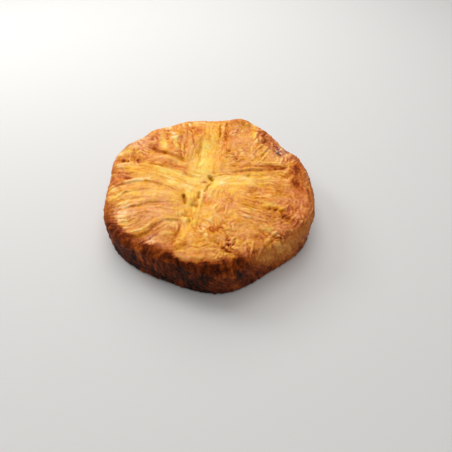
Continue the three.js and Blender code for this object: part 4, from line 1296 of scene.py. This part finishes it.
WALL_ZONES = (
    WallZone("left", -176, 7, 12, 0.66, 0.8),
    WallZone("left, front", -158, 4, 12, 0.64, 0.8),
    WallZone("front left, upper", -149, -1, 16, 0.72, 0.82),
    WallZone("front left", -139, 3, 6, 0.82, 0.9),
    WallZone("front left corner", -129, 0.5, 12, 0.76, 0.9),
    WallZone("front, left of middle", -119, -1, 6, 0.79, 0.89),
    WallZone("front left, belly", -110, 1.5, 7, 0.87, 0.93),
    WallZone("front", -101, 4, 4, 0.88, 0.93),
    WallZone("front middle", -91, 1.5, 4, 0.89, 0.92),
    WallZone("front, right of middle", -80, 1.5, 4, 0.8, 0.8),
    WallZone("front right, dark end", -72, 0, 8, 0.83, 0.86),
    WallZone("front right corner", -66, 3, 12, 0.5, 0.8),
    WallZone("front right, golden", -59, 4, 14, 0.375, 0.73),
    WallZone("front right", -51, 4, 14, 0.36, 0.68),
    WallZone("right, front", -39, 3, 16, 0.5, 0.7),
    WallZone("right", -24, 2, 16, 0.56, 0.74),
    WallZone("right, middle", -8, 3, 16, 0.72, 0.8),
    WallZone("right, back", 12, 6, 12, 0.7, 0.82),
    WallZone("back right", 55, 8, 10, 0.7, 0.82),
    WallZone("back", 95, 10, 9, 0.68, 0.8),
    WallZone("back left", 140, 9, 9, 0.7, 0.82),
)


@dataclass(frozen=True)
class GlazePatch:
    """A patch where butter and sugar have melted to a gloss, in mm."""

    name: str
    x: float
    y: float
    radius: float
    gloss: float


GLAZE_PATCHES = (
    GlazePatch("left lobe", -76, -48, 8.5, 0.7),
    GlazePatch("left lobe top", -52, -38, 22, 0.4),
    GlazePatch("front left lobe", -44, -79, 7, 1),
    GlazePatch("back right rim", 70, 40, 11, 1),
    GlazePatch("back left rim", -79, 45, 11, 0.9),
    GlazePatch("left rim knuckle", -92, 28, 7, 0.5),
    GlazePatch("middle", -8, -10, 30, 0.25),
)


@dataclass
class CrustBrowning:
    """How the crust is baked all over: base, brushes, wall, mottling, and painted light and
    shade.

    Sizes are in mm and angles round the cake in degrees. A mottle or a wander is a size and
    its share or reach, a butter mottle is a size and where it starts, and a wall streak is
    degrees wide, mm tall and a share.
    """

    base_bake: float = 0.42
    base_butter: float = 0.55
    broad_wander: Pair = (6.0, 3.4)
    fine_wander: Pair = (4.0, 1.1)
    fine_spread: float = 1.12
    brush_steps: int = 6
    mottle: tuple[Pair, ...] = ((16, 0.08), (7, 0.09), (2.8, 0.12))
    # Painted shade in the valleys of the fine creases and painted light on their ridges:
    valley_painted_shade: float = 0.34
    ridge_painted_light: float = 0.20
    # Painted shade along the flap edges and furrows:
    crease_painted_shade: float = 0.08
    crease_width: float = 1.5
    crease_fade: float = 0.2
    crease_evenness: float = 0.55
    crease_pieces: float = 8
    crease_shift: float = 40
    full_crease: float = 3
    blister_bake: float = 0.14
    # Painted warm bounce light, redder in the creases and valleys:
    valley_painted_bounce: float = 0.5
    butter_mottle: tuple[Pair, ...] = ((9, 3), (3.7, 8))
    butter_share: float = 0.6
    blush_size: float = 12
    blush_mottle: float = 0.8
    streak_lean: float = 0.24
    lean_reach: float = 40
    lean_begins: Pair = (-92, -76)
    lean_ends: Pair = (-14, 6)
    border_wander: tuple[Pair, ...] = ((11, 3), (4, 1.4))
    upper_to_lower: Pair = (10, 45)
    wall_patch_size: float = 13
    wall_patches: float = 0.15
    wall_streaks: tuple[tuple[float, float, float], ...] = (
        (2.4, 14, 0.14),
        (1.5, 8, 0.07),
        (6.0, 22, 0.09),
    )
    # Painted light on the wall's ridges and painted shade in its hollows:
    wall_ridge_painted_light: float = 0.07
    wall_butter: float = 0.55
    wall_blush: float = 0.35
    wall_gloss: float = 0.12
    crust_gloss: float = 0.3
    gloss_point_size: float = 2.2
    gloss_point_edge: Pair = (0.2, 0.4)

    @staticmethod
    def wandered(spots: Spots, size: float, reach: float) -> tuple[np.ndarray, np.ndarray]:
        """Places pushed aside by a few mm, so that brush marks have uneven edges.

        Args:
            spots: Places on the cake's smooth surface.
            size: Length of one bend.
            reach: How far the places are pushed.

        Returns:
            The moved places across and deep, with the side laid out flat.
        """
        across = spots.u + reach * ripple(spots.u / size, spots.v / size + 31)
        deep = spots.v + reach * ripple(spots.v / size + 17, spots.u / size)
        return across, deep

    def brushed(self, spots: Spots) -> tuple[np.ndarray, np.ndarray, np.ndarray, np.ndarray]:
        """Bake, butter, blush and lift of the crust after every brush, in order.

        Args:
            spots: Places on the cake's smooth surface.

        Returns:
            Three arrays of shares and the height of the strokes in mm, in the spots' order.
        """
        bake = np.full_like(spots.u, self.base_bake)
        butter = np.full_like(bake, self.base_butter)
        blush = np.zeros_like(bake)
        lift = np.zeros_like(bake)
        sets = (
            (BROAD_BRUSHES, self.broad_wander, 1.0),
            (FINE_BRUSHES, self.fine_wander, self.fine_spread),
        )
        for brushes, wander, spread in sets:
            across, deep = self.wandered(spots, *wander)
            for brush in brushes:
                line = (brush.start, brush.end, brush.bow)
                near = nearest_on(*line, across, deep, self.brush_steps)
                mark = bell(near.distance, brush.width * spread)
                cover = brush.strength * mark
                bake += cover * (brush.bake - bake)
                butter += cover * (brush.butter - butter)
                blush += cover * (brush.blush - blush)
                lift += brush.lift * mark
        return bake, butter, blush, lift

    def creased(self, shape: CrustShape, spots: Spots) -> np.ndarray:
        """How far each spot lies down in a flap edge or furrow.

        Args:
            shape: The cake's form.
            spots: Places on the cake's smooth surface.

        Returns:
            A share from 0 to 1 at each spot.
        """
        across, deep = shape.warped(spots.x, spots.y)
        amount = np.zeros_like(across)
        for row, crease in enumerate(CREASES):
            near = nearest_on(crease.start, crease.end, crease.bow, across, deep)
            fade = smooth_between(near.along, 0, self.crease_fade)
            fade *= 1 - smooth_between(near.along, 1 - self.crease_fade, 1)
            own = np.full_like(across, row + self.crease_shift)
            fade *= self.crease_evenness + unevenness(near.along * self.crease_pieces, own)
            share = min(crease.depth / self.full_crease, 1)
            amount = np.maximum(amount, share * fade * bell(near.distance, self.crease_width))
        return amount

    def side(self, spots: Spots) -> tuple[np.ndarray, np.ndarray]:
        """How far the wall's colour covers each spot, and how far it is baked there.

        Args:
            spots: Places on the cake's smooth surface.

        Returns:
            Two arrays of shares, in the spots' order.
        """
        zones = sorted(WALL_ZONES, key=lambda zone: zone.angle)
        angles = [zone.angle for zone in zones]
        degrees = np.degrees(spots.angle)
        lean = self.streak_lean * np.clip(spots.down, 0, self.lean_reach)
        lean *= smooth_between(degrees, *self.lean_begins)
        lean *= 1 - smooth_between(degrees, *self.lean_ends)
        degrees = degrees - lean

        def around(values: list[float]) -> np.ndarray:
            """A value at each spot, blended from the zones' own values."""
            return np.interp(degrees, angles, values, period=360)

        border = around([zone.border for zone in zones])
        fade = around([zone.fade for zone in zones])
        ragged = sum(d * ripple(spots.u / s, spots.v / s) for s, d in self.border_wander)
        cover = smooth_between((spots.down - border + ragged) / fade, 0, 1)
        depth = smooth_between(spots.down, *self.upper_to_lower)
        bake = around([zone.upper for zone in zones]) * (1 - depth)
        bake += around([zone.lower for zone in zones]) * depth
        size = self.wall_patch_size
        bake += self.wall_patches * ripple(spots.u / size, spots.v / size + 6)
        turn = np.abs(degrees)
        for wide, tall, share in self.wall_streaks:
            bake += share * ripple(turn / wide, spots.down / tall)
        return cover, bake

    def fields(
        self, shape: CrustShape, spots: Spots, skin: CrustSkin
    ) -> dict[str, np.ndarray]:
        """Every baked share at each point of the finished surface.

        Args:
            shape: The cake's form.
            spots: The points' places on the smooth surface.
            skin: The fine relief, whose valleys get painted shade and whose ridges get painted
                light.

        Returns:
            Arrays named bake, butter, blush, glaze and lift, the last in mm.
        """
        bake, butter, blush, lift = self.brushed(spots)
        for size, depth in self.mottle:
            bake += depth * ripple(spots.u / size, spots.v / size + 5)
        rucks = skin.creased(spots.u, spots.v)
        creased = self.creased(shape, spots)
        # Painted shade in the valleys of the fine creases and painted light on their ridges.
        bake -= np.where(rucks < 0, self.valley_painted_shade, self.ridge_painted_light) * rucks
        # Painted shade along the flap edges and furrows.
        bake += self.crease_painted_shade * creased
        bake += self.blister_bake * skin.blisters(spots.u, spots.v)
        for size, shift in self.butter_mottle:
            butter += self.butter_share * ripple(spots.u / size, spots.v / size + shift)
        size = self.blush_size
        blush += self.blush_mottle * np.clip(ripple(spots.u / size, spots.v / size + 2), 0, 1)
        # Painted warm bounce light: redder in the creases and in the valleys of the fine
        # creases.
        blush += self.valley_painted_bounce * (creased + np.clip(-rucks, 0, 1))
        cover, wall_bake = self.side(spots)
        # Painted light on the wall's ridges and painted shade in its hollows.
        wall_bake -= self.wall_ridge_painted_light * skin.wall(spots)
        bake += cover * (wall_bake - bake)
        butter += cover * (self.wall_butter - butter)
        blush += cover * (self.wall_blush - blush)
        glaze = np.zeros_like(bake)
        for glazed in GLAZE_PATCHES:
            near = np.hypot(spots.x - glazed.x, spots.y - glazed.y)
            glaze = np.maximum(glaze, glazed.gloss * bell(near, glazed.radius))
        size = self.gloss_point_size
        points = ripple(spots.u / size, spots.v / size + 4)
        points = smooth_between(points, *self.gloss_point_edge)
        glaze = np.maximum(glaze, self.crust_gloss * points)
        glaze = (1 - cover) * glaze + self.wall_gloss * cover * points
        return {
            "bake": np.clip(bake, 0, 1),
            "butter": np.clip(butter, 0, 1),
            "blush": np.clip(blush, -1, 1),
            "glaze": glaze,
            "lift": lift * (1 - cover),
        }


# --- Finishes --------------------------------------------------------------------------


def linear(red: int, green: int, blue: int) -> Tint:
    """Scene colour of a screen colour.

    Args:
        red: Its red byte.
        green: Its green byte.
        blue: Its blue byte.

    Returns:
        The tint, opaque.
    """
    knee, slope, offset, power = 0.04045, 12.92, 0.055, 2.4

    def one(byte: int) -> float:
        """Scene value of one screen byte."""
        share = byte / 255
        return share / slope if share <= knee else ((share + offset) / (1 + offset)) ** power

    return one(red), one(green), one(blue), 1.0


@dataclass(frozen=True)
class Shade:
    """The colour of dough baked this far, as screen bytes."""

    bake: float
    red: int
    green: int
    blue: int


DRY_SHADES = (
    Shade(0.00, 252, 226, 182), Shade(0.15, 249, 206, 145), Shade(0.30, 243, 180, 111),
    Shade(0.42, 231, 152, 92), Shade(0.54, 207, 120, 69), Shade(0.66, 173, 87, 44),
    Shade(0.76, 134, 55, 22), Shade(0.86, 88, 33, 10), Shade(0.95, 46, 18, 5),
    Shade(1.00, 26, 10, 4),
)
BUTTER_SHADES = (
    Shade(0.00, 254, 228, 132), Shade(0.12, 251, 211, 94), Shade(0.30, 246, 184, 68),
    Shade(0.42, 232, 159, 48), Shade(0.54, 208, 128, 26), Shade(0.66, 178, 94, 10),
    Shade(0.76, 140, 64, 6), Shade(0.86, 90, 36, 6), Shade(0.95, 46, 19, 5),
    Shade(1.00, 26, 10, 4),
)


@dataclass
class NodeBench:
    """Adds and joins the nodes of one material."""

    material: bpy.types.Material

    def add(self, kind: str, **values: object) -> bpy.types.Node:
        """Adds a node and sets its own options.

        Args:
            kind: The node's type name.
            **values: Options of the node, by name.

        Returns:
            The new node.
        """
        node = self.material.node_tree.nodes.new(kind)
        for name, value in values.items():
            setattr(node, name, value)
        return node

    def join(self, source: bpy.types.NodeSocket, target: bpy.types.NodeSocket) -> None:
        """Links one socket to another."""
        self.material.node_tree.links.new(source, target)

    def feed(self, slots: Iterable[bpy.types.NodeSocket], values: Iterable[object]) -> None:
        """Gives each slot its value.

        Args:
            slots: The slots to fill, in order.
            values: A socket, a number or a colour for each.
        """
        for slot, value in zip(slots, values):
            if isinstance(value, bpy.types.NodeSocket):
                self.join(value, slot)
            else:
                slot.default_value = value

    def attribute(self, name: str) -> bpy.types.NodeSocket:
        """The value of a mesh attribute at the shaded place."""
        return self.add("ShaderNodeAttribute", attribute_name=name).outputs["Fac"]

    def noise(self, size: float, detail: float) -> bpy.types.NodeSocket:
        """Noise on Object coordinates, 0 to 1.

        Args:
            size: Size of one lump in metres.
            detail: Octaves of finer lumps.

        Returns:
            The noise node's value socket.
        """
        place = self.add("ShaderNodeTexCoord").outputs["Object"]
        mapping = self.add("ShaderNodeMapping")
        mapping.inputs["Scale"].default_value = [1 / size] * 3
        self.join(place, mapping.inputs["Vector"])
        node = self.add("ShaderNodeTexNoise")
        node.inputs["Scale"].default_value = 1.0
        node.inputs["Detail"].default_value = detail
        self.join(mapping.outputs["Vector"], node.inputs["Vector"])
        return node.outputs["Fac"]

    def maths(self, operation: str, *values: object) -> bpy.types.NodeSocket:
        """A maths node fed by sockets or plain numbers.

        Args:
            operation: Name of the operation.
            *values: Sockets or numbers, in the node's order.

        Returns:
            The result's socket.
        """
        node = self.add("ShaderNodeMath", operation=operation)
        self.feed(node.inputs, values)
        return node.outputs["Value"]

    def ramp(
        self, share: bpy.types.NodeSocket, shades: tuple[Shade, ...]
    ) -> bpy.types.NodeSocket:
        """Colour of dough along its shades.

        Args:
            share: How far it is baked.
            shades: The shades in order.

        Returns:
            The colour's socket.
        """
        node = self.add("ShaderNodeValToRGB")
        stops = node.color_ramp.elements
        while len(stops) < len(shades):
            stops.new(0.5)
        for stop, shade in zip(stops, shades):
            stop.position = shade.bake
            stop.color = linear(shade.red, shade.green, shade.blue)
        self.join(share, node.inputs["Fac"])
        return node.outputs["Color"]

    def mix(
        self,
        share: bpy.types.NodeSocket,
        first: object,
        second: object,
        blend: str = "MIX",
    ) -> bpy.types.NodeSocket:
        """Mixes two colours.

        Args:
            share: Share of the second.
            first: A colour socket or a plain colour.
            second: A colour socket or a plain colour.
            blend: The way they are blended.

        Returns:
            The mixed colour's socket.
        """
        node = self.add("ShaderNodeMix", data_type="RGBA", blend_type=blend)
        self.join(share, node.inputs["Factor"])
        slots = [slot for slot in node.inputs if slot.type == "RGBA"]
        self.feed(slots, (first, second))
        return next(slot for slot in node.outputs if slot.type == "RGBA")


def new_material(name: str) -> tuple[bpy.types.Material, NodeBench, bpy.types.Node]:
    """A material with its shader.

    Args:
        name: The material's name.

    Returns:
        The material, its bench and its shader node.
    """
    material = bpy.data.materials.new(name)
    material.use_nodes = True
    bench = NodeBench(material)
    return material, bench, material.node_tree.nodes["Principled BSDF"]


@dataclass(frozen=True)
class CrustFinish:
    """Baked dough: mottled gold to burnt brown, glossy where butter and sugar melted."""

    mottle_size: float = 0.0018
    mottle_depth: float = 0.22
    speck_size: float = 0.0009
    speck_depth: float = 0.12
    reddest: Tint = (1.0, 0.78, 0.62, 1.0)
    olive_and_painted_reflection: Tint = (0.68, 0.88, 0.80, 1.0)
    dull_roughness: float = 0.55
    glazed_roughness: float = 0.27
    roughness_mottle: float = 0.25
    grain_size: float = 0.0011
    grain_height: float = 0.00022
    pore_size: float = 0.0035
    pore_height: float = 0.0004
    bump_strength: float = 0.8
    filled_by_glaze: float = 0.7
    specular: float = 0.06
    glazed_coat: float = 1.0
    coat_roughness: float = 0.2

    def make(self) -> bpy.types.Material:
        """Builds the material.

        Returns:
            The new material.
        """
        material, bench, shader = new_material("baked crust")
        mottle = bench.maths("SUBTRACT", bench.noise(self.mottle_size, 3), 0.5)
        speck = bench.maths("SUBTRACT", bench.noise(self.speck_size, 2), 0.5)
        bake = bench.attribute("bake")
        for noise, depth in ((mottle, self.mottle_depth), (speck, self.speck_depth)):
            bake = bench.maths("ADD", bake, bench.maths("MULTIPLY", noise, depth))
        dry = bench.ramp(bake, DRY_SHADES)
        butter = bench.ramp(bake, BUTTER_SHADES)
        colour = bench.mix(bench.attribute("butter"), dry, butter)
        blush = bench.attribute("blush")
        # Below 0, blush turns the colour olive: olive dough in the slots and cuts, and the
        # greyed painted reflections on the back rims.
        olive = bench.maths("MULTIPLY", blush, -1.0)
        for share, tint in ((blush, self.reddest), (olive, self.olive_and_painted_reflection)):
            colour = bench.mix(share, colour, tint, "MULTIPLY")
        bench.join(colour, shader.inputs["Base Color"])
        glaze = bench.attribute("glaze")
        spread = self.glazed_roughness - self.dull_roughness
        rough = bench.maths("MULTIPLY_ADD", glaze, spread, self.dull_roughness)
        rough = bench.maths("MULTIPLY_ADD", mottle, self.roughness_mottle, rough)
        bench.join(rough, shader.inputs["Roughness"])
        shader.inputs["Specular IOR Level"].default_value = self.specular
        coat = bench.maths("MULTIPLY", glaze, self.glazed_coat)
        bench.join(coat, shader.inputs["Coat Weight"])
        shader.inputs["Coat Roughness"].default_value = self.coat_roughness
        dryness = bench.maths("MULTIPLY_ADD", glaze, -self.filled_by_glaze, 1.0)
        self.roughen(bench, shader, dryness)
        return material

    def roughen(
        self, bench: NodeBench, shader: bpy.types.Node, dryness: bpy.types.NodeSocket
    ) -> None:
        """Adds the pores and grain too fine for the mesh, less of them where it is glazed.

        Args:
            bench: The material's bench.
            shader: Its shader node.
            dryness: 1 on dry crust, less under the glaze.
        """
        pores = bench.noise(self.pore_size, 2)
        grain = bench.noise(self.grain_size, 3)
        normal = None
        for noise, height in ((pores, self.pore_height), (grain, self.grain_height)):
            value = bench.maths("MULTIPLY", noise, dryness)
            bump = bench.add("ShaderNodeBump")
            bump.inputs["Strength"].default_value = self.bump_strength
            bump.inputs["Distance"].default_value = height
            bench.join(value, bump.inputs["Height"])
            if normal is not None:
                bench.join(normal, bump.inputs["Normal"])
            normal = bump.outputs["Normal"]
        bench.join(normal, shader.inputs["Normal"])


@dataclass(frozen=True)
class FloorFinish:
    """Matt pale paper."""

    shade: Tint = (0.74, 0.73, 0.71, 1.0)
    roughness: float = 0.9

    def make(self) -> bpy.types.Material:
        """Builds the material.

        Returns:
            The new material.
        """
        material, _, shader = new_material("pale floor")
        shader.inputs["Base Color"].default_value = self.shade
        shader.inputs["Roughness"].default_value = self.roughness
        return material


# --- Pieces ----------------------------------------------------------------------------


def select_only(piece: bpy.types.Object) -> None:
    """Makes a piece the only selected and the active object.

    Args:
        piece: The piece.
    """
    for other in list(bpy.context.selected_objects):
        other.select_set(False)
    piece.select_set(True)
    bpy.context.view_layer.objects.active = piece


def points_of(piece: bpy.types.Object) -> np.ndarray:
    """A piece's vertices.

    Args:
        piece: The piece.

    Returns:
        Its points in metres, one to a row.
    """
    flat = np.zeros(len(piece.data.vertices) * 3)
    piece.data.vertices.foreach_get("co", flat)
    return flat.reshape(-1, 3)


def move_points(piece: bpy.types.Object, points: np.ndarray) -> None:
    """Sets a piece's vertices, one to a row, in metres."""
    piece.data.vertices.foreach_set("co", points.ravel())
    piece.data.update()


@dataclass
class Cake:
    """The whole cake: one closed body of folded dough with its baked crust."""

    shape: CrustShape
    skin: CrustSkin
    browning: CrustBrowning
    finish: CrustFinish
    hub: Place = (0.5, 1.7)
    cuts: int = 3
    merge_within: float = 1e-6

    def build(self) -> bpy.types.Object:
        """Models and dresses the cake.

        Returns:
            The finished piece, riding on the body and standing for the node.
        """
        piece = self.divided()
        axis = self.axis_of(piece)
        points = (points_of(piece) - axis) / MM
        spots = self.shape.spots_of(points)
        fields = self.browning.fields(self.shape, spots, self.skin)
        fine = self.skin.relief(spots) + fields.pop("lift")
        settled = self.shape.settle(points, spots, fine)
        move_points(piece, settled * MM + axis)
        for name, values in fields.items():
            layer = piece.data.attributes.new(name, "FLOAT", "POINT")
            layer.data.foreach_set("value", values.astype(np.float32))
        piece.data.materials.clear()
        piece.data.materials.append(self.finish.make())
        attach(piece, BODY)
        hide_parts(NODE)
        return piece

    def divided(self) -> bpy.types.Object:
        """A merged copy of the node's mesh, each face cut finer.

        Returns:
            The new piece.
        """
        piece = bpy.data.objects.new("cake_crust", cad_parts[NODE].data.copy())
        bpy.context.scene.collection.objects.link(piece)
        select_only(piece)
        bpy.ops.mesh.customdata_custom_splitnormals_clear()
        bpy.ops.object.mode_set(mode="EDIT")
        bpy.ops.mesh.select_all(action="SELECT")
        bpy.ops.mesh.remove_doubles(threshold=self.merge_within)
        bpy.ops.mesh.subdivide(number_cuts=self.cuts)
        bpy.ops.object.mode_set(mode="OBJECT")
        bpy.ops.object.shade_smooth()
        return piece

    def axis_of(self, piece: bpy.types.Object) -> np.ndarray:
        """The tin's axis on the floor: the underside's own point nearest the hub.

        Args:
            piece: The divided piece.

        Returns:
            The point in metres.
        """
        points = points_of(piece)
        low = points[points[:, 2] < self.merge_within]
        x, y = self.hub
        nearest = low[np.argmin(np.hypot(low[:, 0] - x * MM, low[:, 1] - y * MM))]
        return np.array((nearest[0], nearest[1], 0.0))


# --- Studio ----------------------------------------------------------------------------


@dataclass(frozen=True)
class SoftLight:
    """A square of soft light that points at the cake; distances in metres."""

    name: str
    azimuth: float
    elevation: float
    distance: float
    size: float
    watts: float

    def place(self) -> None:
        """Adds the light to the scene."""
        across, up = math.radians(self.azimuth), math.radians(self.elevation)
        level = math.cos(up)
        heading = (math.cos(across) * level, math.sin(across) * level, math.sin(up))
        place = self.distance * Vector(heading)
        bpy.ops.object.light_add(type="AREA", location=place)
        light = bpy.context.active_object
        light.name = self.name
        light.rotation_euler = (-place).to_track_quat("-Z", "Y").to_euler()
        light.data.energy = self.watts
        light.data.size = self.size


@dataclass
class Studio:
    """Pale floor, soft lights and the camera."""

    floor_size: float = 6.0
    lights: tuple[SoftLight, ...] = (
        SoftLight("window light", 98, 50, 1.2, 1.0, 7.6),
        SoftLight("side light", 150, 38, 1.0, 0.35, 3.0),
        SoftLight("sky light", 90, 86, 1.3, 1.2, 6.0),
    )
    ambient: float = 0.22
    view_elevation: float = 0.933323
    view_roll: float = 0.037095
    view_place: tuple[float, float, float] = (16.83, -210.5, 248.0)
    lens: float = 24.21
    sensor: float = 36.0
    nearest_seen: float = 0.01

    def build(self) -> None:
        """Makes the whole studio."""
        self.lay_floor()
        for light in self.lights:
            light.place()
        world = bpy.data.worlds.new("soft sky")
        bpy.context.scene.world = world
        world.use_nodes = True
        sky = world.node_tree.nodes["Background"].inputs
        sky["Color"].default_value = (1, 1, 1, 1)
        sky["Strength"].default_value = self.ambient
        self.set_camera()
        bpy.context.scene.view_settings.view_transform = "Standard"

    def lay_floor(self) -> None:
        """The floor, just under the cake."""
        bpy.ops.mesh.primitive_plane_add(size=self.floor_size, location=(0, 0, 0))
        floor = bpy.context.active_object
        floor.name = "floor"
        floor.data.materials.append(FloorFinish().make())

    def set_camera(self) -> None:
        """The camera, looking down at the cake from the front."""
        cos_up, sin_up = math.cos(self.view_elevation), math.sin(self.view_elevation)
        ahead = Vector((0, cos_up, -sin_up))
        level = Vector((1, 0, 0))
        upward = Vector((0, sin_up, cos_up))
        cos_roll, sin_roll = math.cos(self.view_roll), math.sin(self.view_roll)
        right = cos_roll * level + sin_roll * upward
        above = cos_roll * upward - sin_roll * level
        turn = Matrix((right, above, -ahead)).transposed().to_4x4()
        camera = bpy.data.objects.new("camera", bpy.data.cameras.new("camera"))
        bpy.context.scene.collection.objects.link(camera)
        camera.matrix_world = Matrix.Translation(Vector(self.view_place) * MM) @ turn
        camera.data.lens = self.lens
        camera.data.sensor_width = self.sensor
        camera.data.clip_start = self.nearest_seen
        bpy.context.scene.camera = camera


def main() -> None:
    """Builds the cake and its studio."""
    logging.basicConfig(level=logging.INFO, format="%(name)s: %(message)s")
    cake = Cake(CrustShape(), CrustSkin(), CrustBrowning(), CrustFinish()).build()
    log.info("%s: %d faces", cake.name, len(cake.data.polygons))
    studio = Studio()
    studio.build()
    log.info("studio: floor, camera and %d lights", len(studio.lights))


if __name__ == "__main__":
    main()
